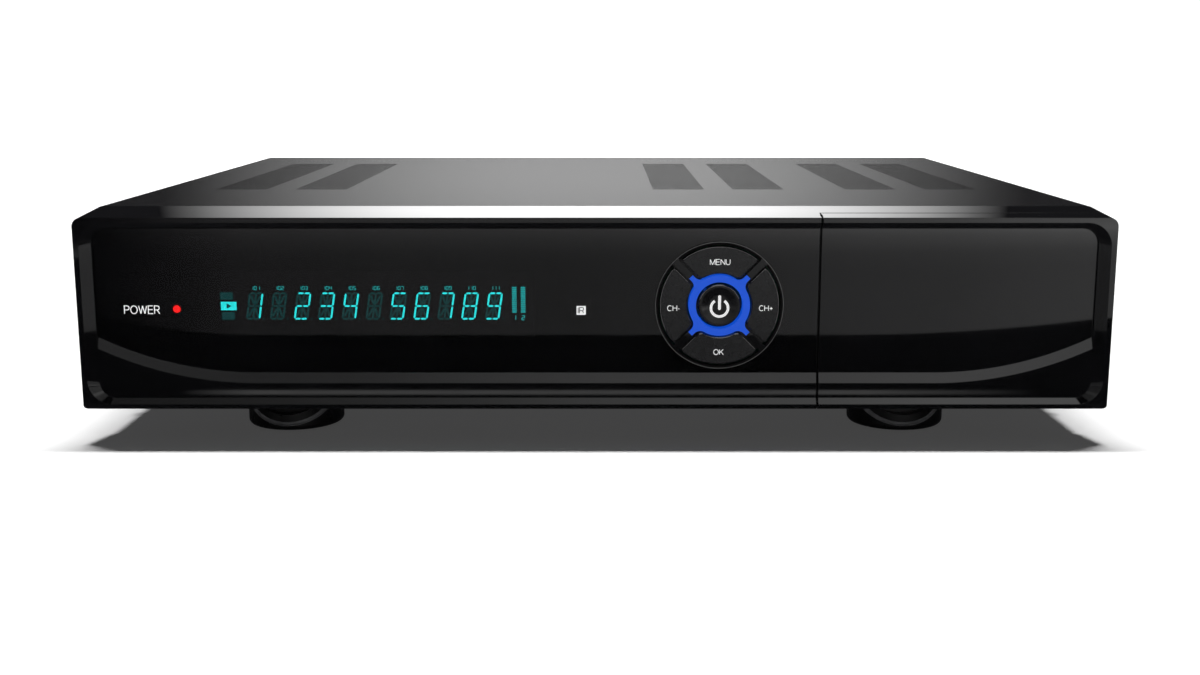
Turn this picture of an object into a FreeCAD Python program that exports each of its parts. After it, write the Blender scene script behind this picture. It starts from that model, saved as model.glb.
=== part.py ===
import FreeCAD, Part

import math
import os
import re

import Sketcher
from FreeCAD import Placement, Rotation, Vector

# Satellite TV receiver, in millimetres: +Z up, the front faces -Y, +X to the right seen from the front.
# The origin is on the surface it stands on, under the middle of its box.

# Driving sizes. Each one can be changed by itself.
SIZES = {
    # whole receiver
    "width": 340,
    "bezel_height": 64,
    "bezel_lift": 11.5,
    "bezel_depth": 14,
    "top_rise": 2.5,
    "side_taper": 3,
    "cover_length": 250.5,
    "cover_inset": 4,
    "connector_reach": 11.5,
    "rest_gap": 0.3,
    "fit_gap": 0.05,
    # sheet metal
    "cover_wall": 0.8,
    "steel": 1,
    "tray_lift": 13,
    "flange_height": 14,
    "lip_reach": 8,
    "bend_radius": 2,
    # louvre slots in the cover
    "vent_width": 19.2,
    "vent_from_side": 32.5,
    "vent_pitch": 30,
    "vent_group_shift": 72.3,
    "vent_setback": 66,
    "vent_slot": 2.4,
    "vent_step": 4.9,
    "vent_rows": 29,
    "side_slot_height": 16,
    "side_slot_rows": 12,
    # sculpted front
    "top_corner": 3,
    "bottom_corner": 1.4,
    "front_wall": 2.5,
    "top_rim": 1.7,
    "side_rim": 1.8,
    "bottom_rim": 1.9,
    "top_bevel": 1.7,
    "side_bevel": 3.6,
    "bottom_bevel": 1.9,
    "dish_depth": 1.4,
    "dish_corner": 8,
    "recess_depth": 1,
    "recess_edge": 0.3,
    "smile_lift": 5,
    "smile_bevel": 3.4,
    "smile_radius": 118,
    "smile_span": 52,
    # display window and what is behind it
    "window_thick": 1.5,
    "window_gap": 0.1,
    "seat_wall": 2,
    "board_thick": 1.6,
    "board_setback": 11,
    "display_width": 108,
    "display_height": 22,
    "display_shift": 1,
    "display_drop": 1.4,
    "lamp_radius": 1.5,
    "lamp_gap": 10.4,
    "lamp_drop": 2.7,
    "eye_width": 6,
    "eye_lens": 2.4,
    "eye_gap": 15.5,
    "boss_radius": 3,
    "boss_inset": 5,
    "board_inset": 10,
    "hook_inner": 51,
    "hook_pitch": 85,
    # key pad
    "pad_radius": 21.15,
    "pad_wall": 1.05,
    "pad_from_door": 32.9,
    "pad_drop": 1.4,
    "pad_proud": 0.8,
    "spoke_width": 2.3,
    "spoke_thick": 2.2,
    "key_gap": 0.5,
    "key_proud": 0.3,
    "key_flange": 1,
    "key_travel": 0.5,
    "stem_radius": 1.7,
    "stem_reach": 1,
    "ring_radius": 10.1,
    "ring_hole": 7.75,
    "ring_thick": 4.1,
    "ring_ray": 3.3,
    "ring_tip_width": 1.6,
    "power_radius": 7,
    "key_corner": 0.9,
    "key_hollow": 2.2,
    "key_edge": 0.35,
    "switch_side": 6,
    "switch_height": 3.5,
    "switch_bore": 1.9,
    # door
    "door_width": 96.2,
    "door_thick": 5.3,
    "door_gap": 0.4,
    "door_skin": 1.4,
    "front_round": 1.8,
    "hinge_setback": 3.4,
    "hinge_lift": 2,
    "hinge_inset": 9,
    "ear_width": 4,
    "ear_radius": 1.4,
    "pin_radius": 0.6,
    "pin_length": 12,
    "magnet_radius": 2,
    "magnet_drop": 5,
    "striker_thick": 0.8,
    # card bay behind the door
    "bay_depth": 12,
    "bay_wall": 1.5,
    "bay_margin": 7,
    "bay_clear": 3,
    "cage_width": 60,
    "cage_length": 82,
    "card_width": 54.4,
    "card_slot": 5.4,
    "card_pitch": 12,
    "reader_length": 50,
    "reader_height": 5,
    "chip_slot": 1.4,
    "usb_width": 13.2,
    "usb_height": 7,
    "usb_length": 14,
    # feet
    "foot_radius": 16.5,
    "foot_from_side": 64.5,
    "foot_setback": 29.9,
    "foot_edge": 1.7,
    "foot_pad_radius": 12,
    "foot_pad_thick": 2.5,
    "foot_stand": 0.8,
    "scoop_radius": 17.4,
    "scoop_lift": 6.4,
    "scoop_depth": 4,
    # screws and standoffs
    "screw_radius": 1.5,
    "screw_head": 3,
    "screw_head_height": 1.6,
    "screw_length": 4.4,
    "screw_inset": 6,
    "standoff_height": 6,
    "standoff_radius": 3,
    # disk bay and power supply on the left
    "bay_side_gap": 4,
    "disk_width": 101.6,
    "disk_length": 147,
    "disk_height": 26.1,
    "disk_lift": 7,
    "disk_setback": 14,
    "disk_rim": 11,
    "disk_hole_rise": 6.35,
    "disk_hole_inset": 28.5,
    "cradle_steel": 1.2,
    "cradle_wall": 14,
    "cradle_inset": 17.6,
    "supply_gap": 8,
    "supply_inset": 4,
    "fan_size": 40,
    "fan_thick": 10,
    "fan_bore": 19,
    "fan_hub": 10,
    "fan_hole_pitch": 32,
    "fan_wall": 1.5,
    "fan_gap": 0.8,
    "fan_shaft": 1.5,
    "fan_corner": 2.4,
    "blade_root": 2,
    "blade_tip": 4,
    "transformer_width": 30,
    "transformer_depth": 26,
    "transformer_height": 26,
    "core_depth": 15.6,
    "coil_width": 18.6,
    "coil_margin": 3.9,
    "capacitor_radius": 8,
    "capacitor_height": 30,
    "supply_sink_height": 32,
    # connectors on the back
    "inlet_width": 24,
    "inlet_height": 18,
    "inlet_depth": 20,
    "inlet_lift": 16,
    "inlet_mouth": 8.8,
    "inlet_pitch": 8.6,
    "inlet_pin": 1.2,
    "rocker_width": 12,
    "rocker_height": 18,
    "rocker_depth": 16,
    "rocker_lift": 42,
    "rocker_tilt": 8,
    "rocker_proud": 2.5,
    "rocker_side": 2,
    "rocker_back": 4.5,
    "rocker_heel": 3.8,
    "rocker_well": 7.2,
    "rocker_room": 0.8,
    "pivot_reach": 1.2,
    "switch_wall": 2,
    "serial_width": 31,
    "serial_shell": 18.4,
    "serial_tall": 9.6,
    "serial_post": 25,
    "serial_lift": 16,
    "serial_flange": 12.6,
    "serial_slant": 1.6,
    "serial_wall": 0.7,
    "serial_reach": 5.8,
    "serial_nut": 2.7,
    "contact_radius": 0.5,
    "contact_pitch": 2.77,
    "contact_rise": 1.42,
    "lan_width": 16,
    "lan_height": 13.5,
    "lan_depth": 21,
    "lan_mouth_width": 11.8,
    "lan_mouth_height": 8.1,
    "lan_mouth_depth": 13.6,
    "lan_latch_width": 6.4,
    "lan_latch_drop": 2.4,
    "hdmi_width": 15,
    "hdmi_height": 6,
    "hdmi_depth": 12,
    "hdmi_wall": 0.7,
    "hdmi_tongue": 1.5,
    "phono_pitch": 12.7,
    "phono_rise": 15,
    "phono_radius": 4.15,
    "phono_bore": 1.6,
    "phono_reach": 8.5,
    "scart_width": 50,
    "scart_pitch": 24,
    "scart_depth": 14,
    "scart_mouth": 12,
    "scart_reach": 4,
    "scart_flange": 1.5,
    "scart_wall": 1.2,
    "scart_tongue": 3,
    "tuner_width": 42,
    "tuner_height": 12.5,
    "tuner_length": 60,
    "tuner_rise": 24,
    "bracket_inset": 9,
    "bracket_window": 15,
    "aerial_pitch": 20,
    "aerial_radius": 4.76,
    "aerial_neck": 4.3,
    "aerial_bore": 3.6,
    "aerial_nut": 6.5,
    "aerial_nut_height": 2.4,
    # main board
    "board_margin": 3,
    "sink_side": 44,
    "sink_height": 16,
    "sink_fin": 1.4,
    "sink_pitch": 5,
    "ribbon_width": 26,
    "ribbon_thick": 0.5,
}

# Places worked out from the sizes, in an order in which each one uses only those above it.
PLACES = {
    # box
    "half_width": "width / 2",
    "front_y": "-(bezel_depth + cover_length + connector_reach) / 2",
    "cover_front": "front_y + bezel_depth",
    "rear_y": "cover_front + cover_length",
    "panel_inner": "rear_y - steel",
    "bezel_top": "bezel_lift + bezel_height",
    "cover_top": "bezel_top + top_rise",
    "cover_half": "half_width - cover_inset",
    "floor_half": "cover_half - cover_wall - rest_gap",
    "inner_half": "floor_half - steel",
    "tray_top": "tray_lift + steel",
    "lid_under": "cover_top - cover_wall - rest_gap",
    # dish and recess of the front
    "dish_side": "half_width - side_rim",
    "dish_top": "bezel_top - top_rim",
    "dish_low": "bezel_lift + bottom_rim",
    "well_side": "dish_side - side_bevel",
    "well_top": "dish_top - top_bevel",
    "well_low": "dish_low + bottom_bevel",
    "well_corner": "dish_corner - (top_bevel + side_bevel) / 2",
    "smile_turn": "well_side - smile_span",
    "smile_low": "well_low + smile_lift",
    "panel_side": "well_side - recess_edge",
    "panel_top": "well_top - recess_edge",
    "panel_low": "smile_low + smile_bevel",
    "panel_mid": "(panel_top + panel_low) / 2",
    "dish_y": "front_y + dish_depth",
    "panel_y": "dish_y + recess_depth",
    "window_back": "panel_y + window_thick",
    "seat_back": "window_back + seat_wall",
    "board_y": "front_y + board_setback",
    "board_back": "board_y + board_thick",
    # door
    "door_split": "half_width - door_width",
    "fixed_end": "door_split - door_gap / 2",
    "door_start": "door_split + door_gap / 2",
    "door_back": "front_y + door_thick",
    "bay_face": "door_back + door_gap",
    "bay_seat": "bay_face + seat_wall",
    "bay_floor": "bay_face + bay_depth",
    "bay_back": "bay_floor + bay_wall",
    "bay_left": "door_start + bay_margin",
    "bay_right": "half_width - side_taper - bay_margin",
    "bay_low": "tray_top + bay_wall + bay_clear",
    "bay_high": "bezel_top - front_wall - bay_wall - bay_clear",
    "hinge_y": "front_y + hinge_setback",
    "hinge_z": "bezel_lift + hinge_lift",
    "hinge_left": "door_start + hinge_inset",
    "hinge_right": "half_width - side_taper - hinge_inset",
    "magnet_x": "(door_start + bay_left) / 2",
    "magnet_z": "bay_high - magnet_drop",
    "cage_x": "bay_left + cage_width / 2",
    "usb_x": "bay_right - bay_wall - usb_width / 2",
    # key pad, display and lamps
    "pad_x": "door_split - pad_from_door",
    "pad_z": "panel_mid - pad_drop",
    "pad_face": "panel_y - pad_proud",
    "pad_hole": "pad_radius - pad_wall",
    "key_face": "pad_face - key_proud",
    "key_back": "pad_face + spoke_thick",
    "flange_y": "key_back + rest_gap",
    "ring_back": "pad_face + ring_thick",
    "ears_y": "ring_back + rest_gap",
    "switch_y": "board_y - switch_height",
    "stem_end": "switch_y + stem_reach",
    "key_outer": "pad_hole - key_gap",
    "key_inner": "ring_radius + key_gap",
    "key_side": "spoke_width / 2 + key_gap",
    "ring_tip": "ring_radius + ring_ray",
    "key_spot": "(key_outer + key_inner) / 2",
    "display_x": "(pad_x - pad_radius - half_width) / 2 + display_shift",
    "display_z": "panel_mid - display_drop",
    "display_left": "display_x - display_width / 2",
    "display_right": "display_x + display_width / 2",
    "lamp_x": "display_left - lamp_gap",
    "lamp_z": "panel_mid - lamp_drop",
    "eye_x": "display_right + eye_gap",
    "board_left": "board_inset - half_width",
    "board_right": "fixed_end - boss_inset",
    "board_low": "tray_top + boss_inset",
    "board_high": "bezel_top - front_wall - boss_inset / 2",
    # boards inside
    "deck": "tray_top + standoff_height",
    "deck_top": "deck + board_thick",
    "card_low": "deck_top + bay_wall + card_slot / 2",
    "cage_top": "card_low + card_pitch + card_slot / 2 + bay_wall",
    "reader_z": "cage_top + reader_height / 2",
    "usb_z": "deck_top + usb_height / 2",
    "ribbon_x": "(eye_x + board_right) / 2",
    "ribbon_z": "deck_top + standoff_height",
    "disk_left": "-inner_half + bay_side_gap + cradle_steel + rest_gap",
    "disk_right": "disk_left + disk_width",
    "bay_end": "disk_right + rest_gap + cradle_steel + board_margin",
    "disk_front": "cover_front + disk_setback",
    "disk_rear": "disk_front + disk_length",
    "disk_base": "tray_top + disk_lift",
    "disk_top": "disk_base + disk_height",
    "disk_hole_z": "disk_base + disk_hole_rise",
    "main_left": "bay_end",
    "main_right": "inner_half - board_margin",
    "main_front": "bay_back + rest_gap",
    "main_rear": "panel_inner - rest_gap",
    "main_mid": "(main_left + main_right) / 2",
    # rear connectors, spread over the width that each group has
    "left_room": "bay_end + inner_half",
    "left_gap": "(left_room - inlet_width - fan_size - serial_width) / 4",
    "inlet_x": "-inner_half + left_gap + inlet_width / 2",
    "fan_x": "inlet_x + inlet_width / 2 + left_gap + fan_size / 2",
    "serial_x": "fan_x + fan_size / 2 + left_gap + serial_width / 2",
    "right_room": "inner_half - bay_end",
    "phono_width": "phono_pitch * 2 + phono_radius * 3",
    "phono_height": "phono_rise + phono_radius * 3",
    "bracket_half": "tuner_width / 2 + rest_gap + steel",
    "right_used": "lan_width + hdmi_width + phono_width + scart_width + bracket_half * 2",
    "right_gap": "(right_room - right_used) / 6",
    "lan_x": "bay_end + right_gap + lan_width / 2",
    "hdmi_x": "lan_x + lan_width / 2 + right_gap + hdmi_width / 2",
    "phono_x": "hdmi_x + hdmi_width / 2 + right_gap + phono_width / 2",
    "scart_x": "phono_x + phono_width / 2 + right_gap + scart_width / 2",
    "tuner_x": "scart_x + scart_width / 2 + right_gap + bracket_half",
    "inlet_z": "tray_top + inlet_lift",
    "rocker_z": "tray_top + rocker_lift",
    "pivot_y": "rear_y - steel",
    "switch_width": "rocker_width + switch_wall * 2",
    "switch_tall": "rocker_height + switch_wall * 2",
    "serial_z": "tray_top + serial_lift",
    "fan_z": "(tray_top + lid_under) / 2",
    "lan_z": "deck_top + lan_height / 2",
    "hdmi_z": "deck_top + hdmi_height / 2",
    "phono_z": "deck_top + phono_radius * 1.5",
    "scart_z": "deck_top + scart_pitch / 2",
    "tuner_z": "deck_top + tuner_height / 2",
    "tuner_rear": "panel_inner - rest_gap",
    "nut_front": "rear_y + aerial_nut_height",
    "supply_left": "inlet_x + inlet_width / 2 + supply_inset",
    "supply_right": "disk_right",
    "supply_front": "disk_rear + supply_gap",
    "supply_rear": "panel_inner - fan_thick - board_margin * 2",
    "supply_y": "(supply_front + supply_rear) / 2",
    "supply_mid": "(supply_left + supply_right) / 2",
    "cans_x": "supply_left + supply_gap + capacitor_radius",
    "coil_x": "cans_x + capacitor_radius + board_margin + transformer_width / 2",
    "fins_x": "coil_x + transformer_width / 2 + board_margin + sink_fin * 2",
    "fan_front": "panel_inner - fan_thick",
    "rotor_front": "fan_front + fan_wall + fan_gap",
    "rotor_rear": "panel_inner - fan_gap",
}

DOC = FreeCAD.newDocument("SatelliteReceiver")
SHEET = DOC.addObject("Spreadsheet::Sheet", "sizes")
WORKED_OUT = DOC.addObject("App::VarSet", "places")
NODES = []

# Turns that lay a piece drawn along +Z towards another side.
UPRIGHT = Rotation()
TO_BACK = Rotation(Vector(1, 0, 0), -90)
TO_RIGHT = Rotation(Vector(0, 1, 0), 90)
TO_LEFT = Rotation(Vector(0, 1, 0), -90)
TO_FLOOR = Rotation(Vector(1, 0, 0), 180)


def formula(text):
    """The text with each known word pointed at the sheet or at the worked-out places."""

    def point(match):
        word = match.group(0)
        if word in SIZES:
            return "sizes." + word
        return "places." + word if word in PLACES else word

    return re.sub(r"[a-z_]+", point, str(text))


def bind(thing, path, text):
    thing.setExpression(path, formula(text))


def number(text):
    return float(SHEET.evalExpression(formula(text)))


def write_sizes():
    for row, (name, value) in enumerate(SIZES.items(), 1):
        SHEET.set(f"A{row}", name)
        SHEET.set(f"B{row}", str(value))
        SHEET.setAlias(f"B{row}", name)
    DOC.recompute()
    for name, text in PLACES.items():
        WORKED_OUT.addProperty("App::PropertyFloat", name, "places", "")
        bind(WORKED_OUT, name, text)
    DOC.recompute()


# Bodies and their sketches


def keep(thing, name):
    """Marks an object as a node of the receiver: its label names its file."""
    thing.Label = name
    NODES.append(thing)
    return thing


def new_body(name):
    return keep(DOC.addObject("PartDesign::Body", name), name)


def master(name):
    """A body that is only copied by groups."""
    return DOC.addObject("PartDesign::Body", name)


def sketch(body, plane, at, corner=("0", "0"), turn=0):
    """A sketch on one of the body's own planes: XY at a height, XZ at a y, YZ at an x. Its own
    origin may be moved to a corner (across, up) of that plane and turned about it."""
    drawing = body.newObject("Sketcher::SketchObject", f"{body.Name}_sketch")
    base = next(o for o in body.Origin.OriginFeatures if o.Role == f"{plane}_Plane")
    drawing.AttachmentSupport = [(base, "")]
    drawing.MapMode = "FlatFace"
    if turn:
        drawing.AttachmentOffset = Placement(Vector(), Rotation(Vector(0, 0, 1), number(turn)))
        bind(drawing, "AttachmentOffset.Rotation.Angle", turn)
    depth = f"-({at})" if plane == "XZ" else at
    for axis, text in zip("xyz", (*corner, depth)):
        bind(drawing, f"AttachmentOffset.Base.{axis}", text)
    return drawing


def tie(drawing, constraint, text):
    """Adds a dimension whose value follows the formula."""
    index = drawing.addConstraint(Sketcher.Constraint(*constraint, number(text)))
    bind(drawing, f"Constraints[{index}]", text)


def pin(drawing, curve, end, across, up):
    """Fixes one end, or the centre (3), of a curve by its two distances from the sketch's origin."""
    tie(drawing, ("DistanceX", -1, 1, curve, end), across)
    tie(drawing, ("DistanceY", -1, 1, curve, end), up)


def outline(*corners):
    """A closed outline through corners (across, up). A corner with a radius and a side bends the
    stretch after it into an arc whose centre is on that side, left or right of the way it goes."""

    def draw(drawing):
        points = [Vector(number(corner[0]), number(corner[1]), 0) for corner in corners]
        ends = []
        for start, stop, corner in zip(points, points[1:] + points[:1], corners):
            if len(corner) == 2:
                curve = drawing.addGeometry(Part.LineSegment(start, stop))
                ends.append((curve, 1, 2))
                continue
            radius, side = corner[2:]
            chord = stop - start
            reach = math.sqrt(max(number(radius) ** 2 - (chord.Length / 2) ** 2, 0))
            off = Vector(-chord.y, chord.x, 0).normalize() * reach
            left = side == "left"
            centre = (start + stop) / 2 + (off if left else -off)
            first, last = (start - centre, stop - centre) if left else (stop - centre, start - centre)
            begin = math.atan2(first.y, first.x)
            sweep = (math.atan2(last.y, last.x) - begin) % (2 * math.pi)
            ring = Part.Circle(centre, Vector(0, 0, 1), number(radius))
            curve = drawing.addGeometry(Part.ArcOfCircle(ring, begin, begin + sweep))
            tie(drawing, ("Radius", curve), radius)
            ends.append((curve, 1, 2) if left else (curve, 2, 1))
        for (curve, _, stop), (following, start, _) in zip(ends, ends[1:] + ends[:1]):
            drawing.addConstraint(Sketcher.Constraint("Coincident", curve, stop, following, start))
        for (curve, start, _), corner in zip(ends, corners):
            pin(drawing, curve, start, corner[0], corner[1])

    return draw


def rectangle(left, low, right, high):
    return outline((left, low), (right, low), (right, high), (left, high))


def centred(across, up, width, height, spare="0"):
    """A rectangle about its middle, larger by a spare margin all round."""
    half = f"(({width}) / 2 + ({spare}))"
    rise = f"(({height}) / 2 + ({spare}))"
    return rectangle(
        f"{across} - {half}", f"{up} - {rise}", f"{across} + {half}", f"{up} + {rise}"
    )


def rounded(left, low, right, high, radius):
    """A rectangle with four round corners."""
    return outline(
        (f"{left} + {radius}", low),
        (f"{right} - {radius}", low, radius, "left"),
        (right, f"{low} + {radius}"),
        (right, f"{high} - {radius}", radius, "left"),
        (f"{right} - {radius}", high),
        (f"{left} + {radius}", high, radius, "left"),
        (left, f"{high} - {radius}"),
        (left, f"{low} + {radius}", radius, "left"),
    )


def circle(across, up, radius):
    def draw(drawing):
        centre = Vector(number(across), number(up), 0)
        curve = drawing.addGeometry(Part.Circle(centre, Vector(0, 0, 1), number(radius)))
        tie(drawing, ("Radius", curve), radius)
        pin(drawing, curve, 3, across, up)

    return draw


def hexagon(reach):
    """Six equal sides about the origin, with a corner at a reach to either side."""
    half, wide = f"(({reach}) / 2)", f"(({reach}) * sqrt(3) / 2)"
    return outline((reach, "0"), (half, wide), (f"-{half}", wide), (f"-({reach})", "0"),
                   (f"-{half}", f"-{wide}"), (half, f"-{wide}"))


# Features


def extrude(kind, body, plane, low, high, shapes, corner, turn):
    drawing = sketch(body, plane, low, corner, turn)
    for draw in shapes:
        draw(drawing)
    feature = body.newObject(f"PartDesign::{kind}", f"{body.Name}_{kind}")
    feature.Profile = drawing
    bind(feature, "Length", f"({high}) - ({low})")
    # A pad follows its plane's normal and a pocket goes against it, and the normal of XZ is -Y.
    feature.Reversed = (kind == "Pad") == (plane == "XZ")
    body.Tip = feature
    return feature


def pad(body, plane, low, high, *shapes, corner=("0", "0"), turn=0):
    """Adds material between two places along the plane's own axis."""
    return extrude("Pad", body, plane, low, high, shapes, corner, turn)


def cut(body, plane, low, high, *shapes, corner=("0", "0"), turn=0):
    """Takes material away between two places along the plane's own axis."""
    return extrude("Pocket", body, plane, low, high, shapes, corner, turn)


def loft(body, kind, *drawings):
    feature = body.newObject(f"PartDesign::{kind}Loft", f"{body.Name}_loft")
    feature.Profile = drawings[0]
    feature.Sections = list(drawings[1:])
    feature.Ruled = True
    body.Tip = feature
    return feature


def turned(body, *corners):
    """Revolves a half profile, drawn as radius and height, about the body's upright axis."""
    drawing = sketch(body, "XZ", "0")
    outline(*corners)(drawing)
    feature = body.newObject("PartDesign::Revolution", f"{body.Name}_turned")
    feature.Profile = drawing
    feature.ReferenceAxis = (drawing, ["V_Axis"])
    feature.Angle = 360
    body.Tip = feature


def soften(kind, body, size, test):
    DOC.recompute()
    base = body.Tip
    names = [f"Edge{i}" for i, edge in enumerate(base.Shape.Edges, 1) if test(edge)]
    if not names:
        raise RuntimeError(f"{body.Label}: no edge to soften")
    feature = body.newObject(f"PartDesign::{kind}", f"{body.Name}_{kind}")
    feature.Base = (base, names)
    bind(feature, "Radius" if kind == "Fillet" else "Size", size)
    body.Tip = feature


def fillet(body, radius, test):
    soften("Fillet", body, radius, test)


def chamfer(body, size, test):
    soften("Chamfer", body, size, test)


def line_along(edge, axis):
    """Whether an edge runs straight along one axis."""
    box = edge.BoundBox
    reach = {"x": box.XLength, "y": box.YLength, "z": box.ZLength}
    return reach.pop(axis) > 0.1 and max(reach.values()) < 0.001


def lies_at(edge, **places):
    """Whether an edge's middle is at the given places."""
    centre = edge.BoundBox.Center
    return all(abs(getattr(centre, axis) - number(text)) < 0.01 for axis, text in places.items())


def row(body, feature, axis, step, count):
    """Repeats a feature along the across (H) or up (V) axis of its own sketch."""
    pattern = body.newObject("PartDesign::LinearPattern", f"{body.Name}_row")
    pattern.Originals = [feature]
    pattern.Direction = (feature.Profile[0], [f"{axis}_Axis"])
    pattern.Mode = "Spacing"
    bind(pattern, "Offset", step)
    bind(pattern, "Occurrences", count)
    body.Tip = pattern


def ring_of(body, feature, count, about=None):
    """Repeats a feature round the origin of its own sketch, or of another feature's sketch."""
    pattern = body.newObject("PartDesign::PolarPattern", f"{body.Name}_ring")
    pattern.Originals = [feature]
    pattern.Axis = ((about or feature).Profile[0], ["N_Axis"])
    pattern.Angle = 360
    pattern.Occurrences = count
    body.Tip = pattern


def group(name, piece, spots, turns):
    """Copies of one body, one at each spot (x, y, z), kept as separate solids of one node."""
    links = []
    for spot, turn in zip(spots, turns):
        link = DOC.addObject("App::Link", f"{name}_{len(links) + 1}")
        link.LinkedObject = piece
        link.LinkTransform = False
        link.Placement = Placement(Vector(), turn)
        for axis, text in zip("xyz", spot):
            bind(link, f"Placement.Base.{axis}", text)
        links.append(link)
    node = DOC.addObject("Part::Compound", name)
    node.Links = links
    return keep(node, name)


def same(name, piece, spots, turn=UPRIGHT):
    return group(name, piece, spots, [turn] * len(spots))


def pan_screw(name, length):
    """A pan head screw along +Z: the head stands on the origin's plane, the shank goes below it."""
    screw = master(name)
    turned(
        screw,
        ("0", f"-({length})"),
        ("screw_radius", f"-({length})"),
        ("screw_radius", "0"),
        ("screw_head", "0"),
        ("screw_head - screw_head_height / 2", "screw_head_height"),
        ("0", "screw_head_height"),
    )
    return screw


# Spots that several pieces share

TRAY_SLOTS = 9
GRILLE_SLOTS = 16
CRADLE_SLOTS = 5
SINK_GAPS = 8
FAN_STRUTS = 3
FAN_BLADES = 7
SIDE_SCREWS_Y = ("cover_front + foot_setback", "(cover_front + rear_y) / 2", "rear_y - foot_setback")
SIDE_SCREW_Z = "tray_top + flange_height / 2"
FEET = [
    (f"{side} * (half_width - foot_from_side)", y)
    for side in (-1, 1)
    for y in ("front_y + foot_setback", "rear_y - foot_setback")
]

BOSSES = [
    (x, z)
    for x in ("board_left + boss_inset", "eye_x", "board_right - boss_inset")
    for z in ("board_low + boss_inset", "board_high - boss_inset")
]
CARD_SLOTS = ("card_low", "card_low + card_pitch")
PHONOS = [
    (x, z)
    for x in ("phono_x - phono_pitch", "phono_x", "phono_x + phono_pitch")
    for z in ("phono_z", "phono_z + phono_rise")
]
SCARTS = ("scart_z", "scart_z + scart_pitch")
AERIALS = [
    (x, z)
    for x in ("tuner_x - aerial_pitch / 2", "tuner_x + aerial_pitch / 2")
    for z in ("tuner_z", "tuner_z + tuner_rise")
]
SERIAL_POSTS = [("serial_x - serial_post / 2", "serial_z"), ("serial_x + serial_post / 2", "serial_z")]
FAN_SCREWS = [
    (x, z)
    for x in ("fan_x - fan_hole_pitch / 2", "fan_x + fan_hole_pitch / 2")
    for z in ("fan_z - fan_hole_pitch / 2", "fan_z + fan_hole_pitch / 2")
]
MAIN_SCREWS = [
    ("main_left + screw_inset", "main_front + screw_inset"),
    ("main_left + screw_inset", "main_rear - lan_depth * 2"),
    ("main_mid", "main_front + screw_inset"),
    ("main_mid", "main_rear - lan_depth * 2"),
    ("main_right - screw_inset", "main_front + cage_length / 2"),
    ("main_right - screw_inset", "main_rear - tuner_length - screw_inset * 2"),
]
SUPPLY_SCREWS = [
    (x, y)
    for x in ("supply_left + supply_inset", "supply_right - supply_inset")
    for y in ("supply_front + supply_inset", "supply_rear - supply_inset")
]
DISK_SCREWS_Y = ("disk_front + disk_hole_inset", "disk_rear - disk_hole_inset")


# Sheet metal case


def chassis_tray():
    tray = new_body("chassis_tray")
    pad(tray, "XY", "tray_lift", "tray_top",
        rectangle("-floor_half", "cover_front", "floor_half", "rear_y"))
    pad(tray, "XY", "tray_top", "tray_top + flange_height",
        rectangle("-floor_half", "cover_front", "-inner_half", "panel_inner"),
        rectangle("inner_half", "cover_front", "floor_half", "panel_inner"))
    pad(tray, "XZ", "cover_front", "cover_front + steel",
        rectangle("-inner_half", "tray_top", "inner_half", "lid_under"))
    pad(tray, "XY", "lid_under - steel", "lid_under",
        rectangle("-inner_half", "cover_front", "inner_half", "cover_front + lip_reach"))
    # window for the card bay and slot for the ribbon cable
    cut(tray, "XZ", "cover_front", "cover_front + steel",
        rectangle("bay_left - bay_wall - rest_gap", "bay_low - bay_wall - rest_gap",
                  "bay_right + bay_wall + rest_gap", "bay_high + bay_wall + rest_gap"),
        centred("ribbon_x", "ribbon_z", "ribbon_width", "ribbon_thick", "rest_gap * 3"))
    # air slots under the power supply
    slot = cut(tray, "XY", "tray_lift", "tray_top",
               centred(f"supply_mid - vent_step * {TRAY_SLOTS // 2}", "supply_front + supply_gap * 2",
                       "vent_slot", "supply_gap * 3"))
    row(tray, slot, "H", "vent_step", TRAY_SLOTS)
    cut(tray, "XY", "tray_lift", "tray_top",
        *(circle(x, y, "screw_radius + fit_gap") for x, y in FEET))
    cut(tray, "YZ", "-floor_half", "floor_half",
        *(circle(y, SIDE_SCREW_Z, "screw_radius + fit_gap") for y in SIDE_SCREWS_Y))


def top_cover():
    """One sheet bent down at both sides, with louvre slots in six columns and down the sides."""
    cover = new_body("top_cover")
    inside, under = "(cover_half - cover_wall)", "(cover_top - cover_wall)"
    inner, outer = "(bend_radius - cover_wall)", "bend_radius"
    pad(cover, "XZ", "cover_front", "rear_y", outline(
        ("-cover_half", "tray_lift"),
        (f"-{inside}", "tray_lift"),
        (f"-{inside}", f"{under} - {inner}", inner, "right"),
        (f"{inner} - {inside}", under),
        (f"{inside} - {inner}", under, inner, "right"),
        (inside, f"{under} - {inner}"),
        (inside, "tray_lift"),
        ("cover_half", "tray_lift"),
        ("cover_half", f"cover_top - {outer}", outer, "left"),
        (f"cover_half - {outer}", "cover_top"),
        (f"{outer} - cover_half", "cover_top", outer, "left"),
        ("-cover_half", f"cover_top - {outer}")))
    columns = []
    for side in (-1, 1):
        for step in range(2):
            from_middle = f"(cover_half - vent_from_side - vent_pitch * {step})"
            columns.append(f"{side} * {from_middle}")
            if side > 0:
                columns.append(f"{from_middle} - vent_group_shift")
    louvres = cut(cover, "XY", "cover_top - cover_wall", "cover_top",
                  *(centred(x, "cover_front + vent_setback", "vent_width", "vent_slot")
                    for x in columns))
    row(cover, louvres, "V", "vent_step", "vent_rows")
    side_slots = cut(cover, "YZ", "-cover_half", "cover_half",
                     centred("cover_front + vent_setback", "(tray_lift + cover_top) / 2",
                             "vent_slot", "side_slot_height"))
    row(cover, side_slots, "H", "vent_step * 2", "side_slot_rows")
    cut(cover, "YZ", "-cover_half", "cover_half",
        *(circle(y, SIDE_SCREW_Z, "screw_radius + rest_gap") for y in SIDE_SCREWS_Y))


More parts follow.
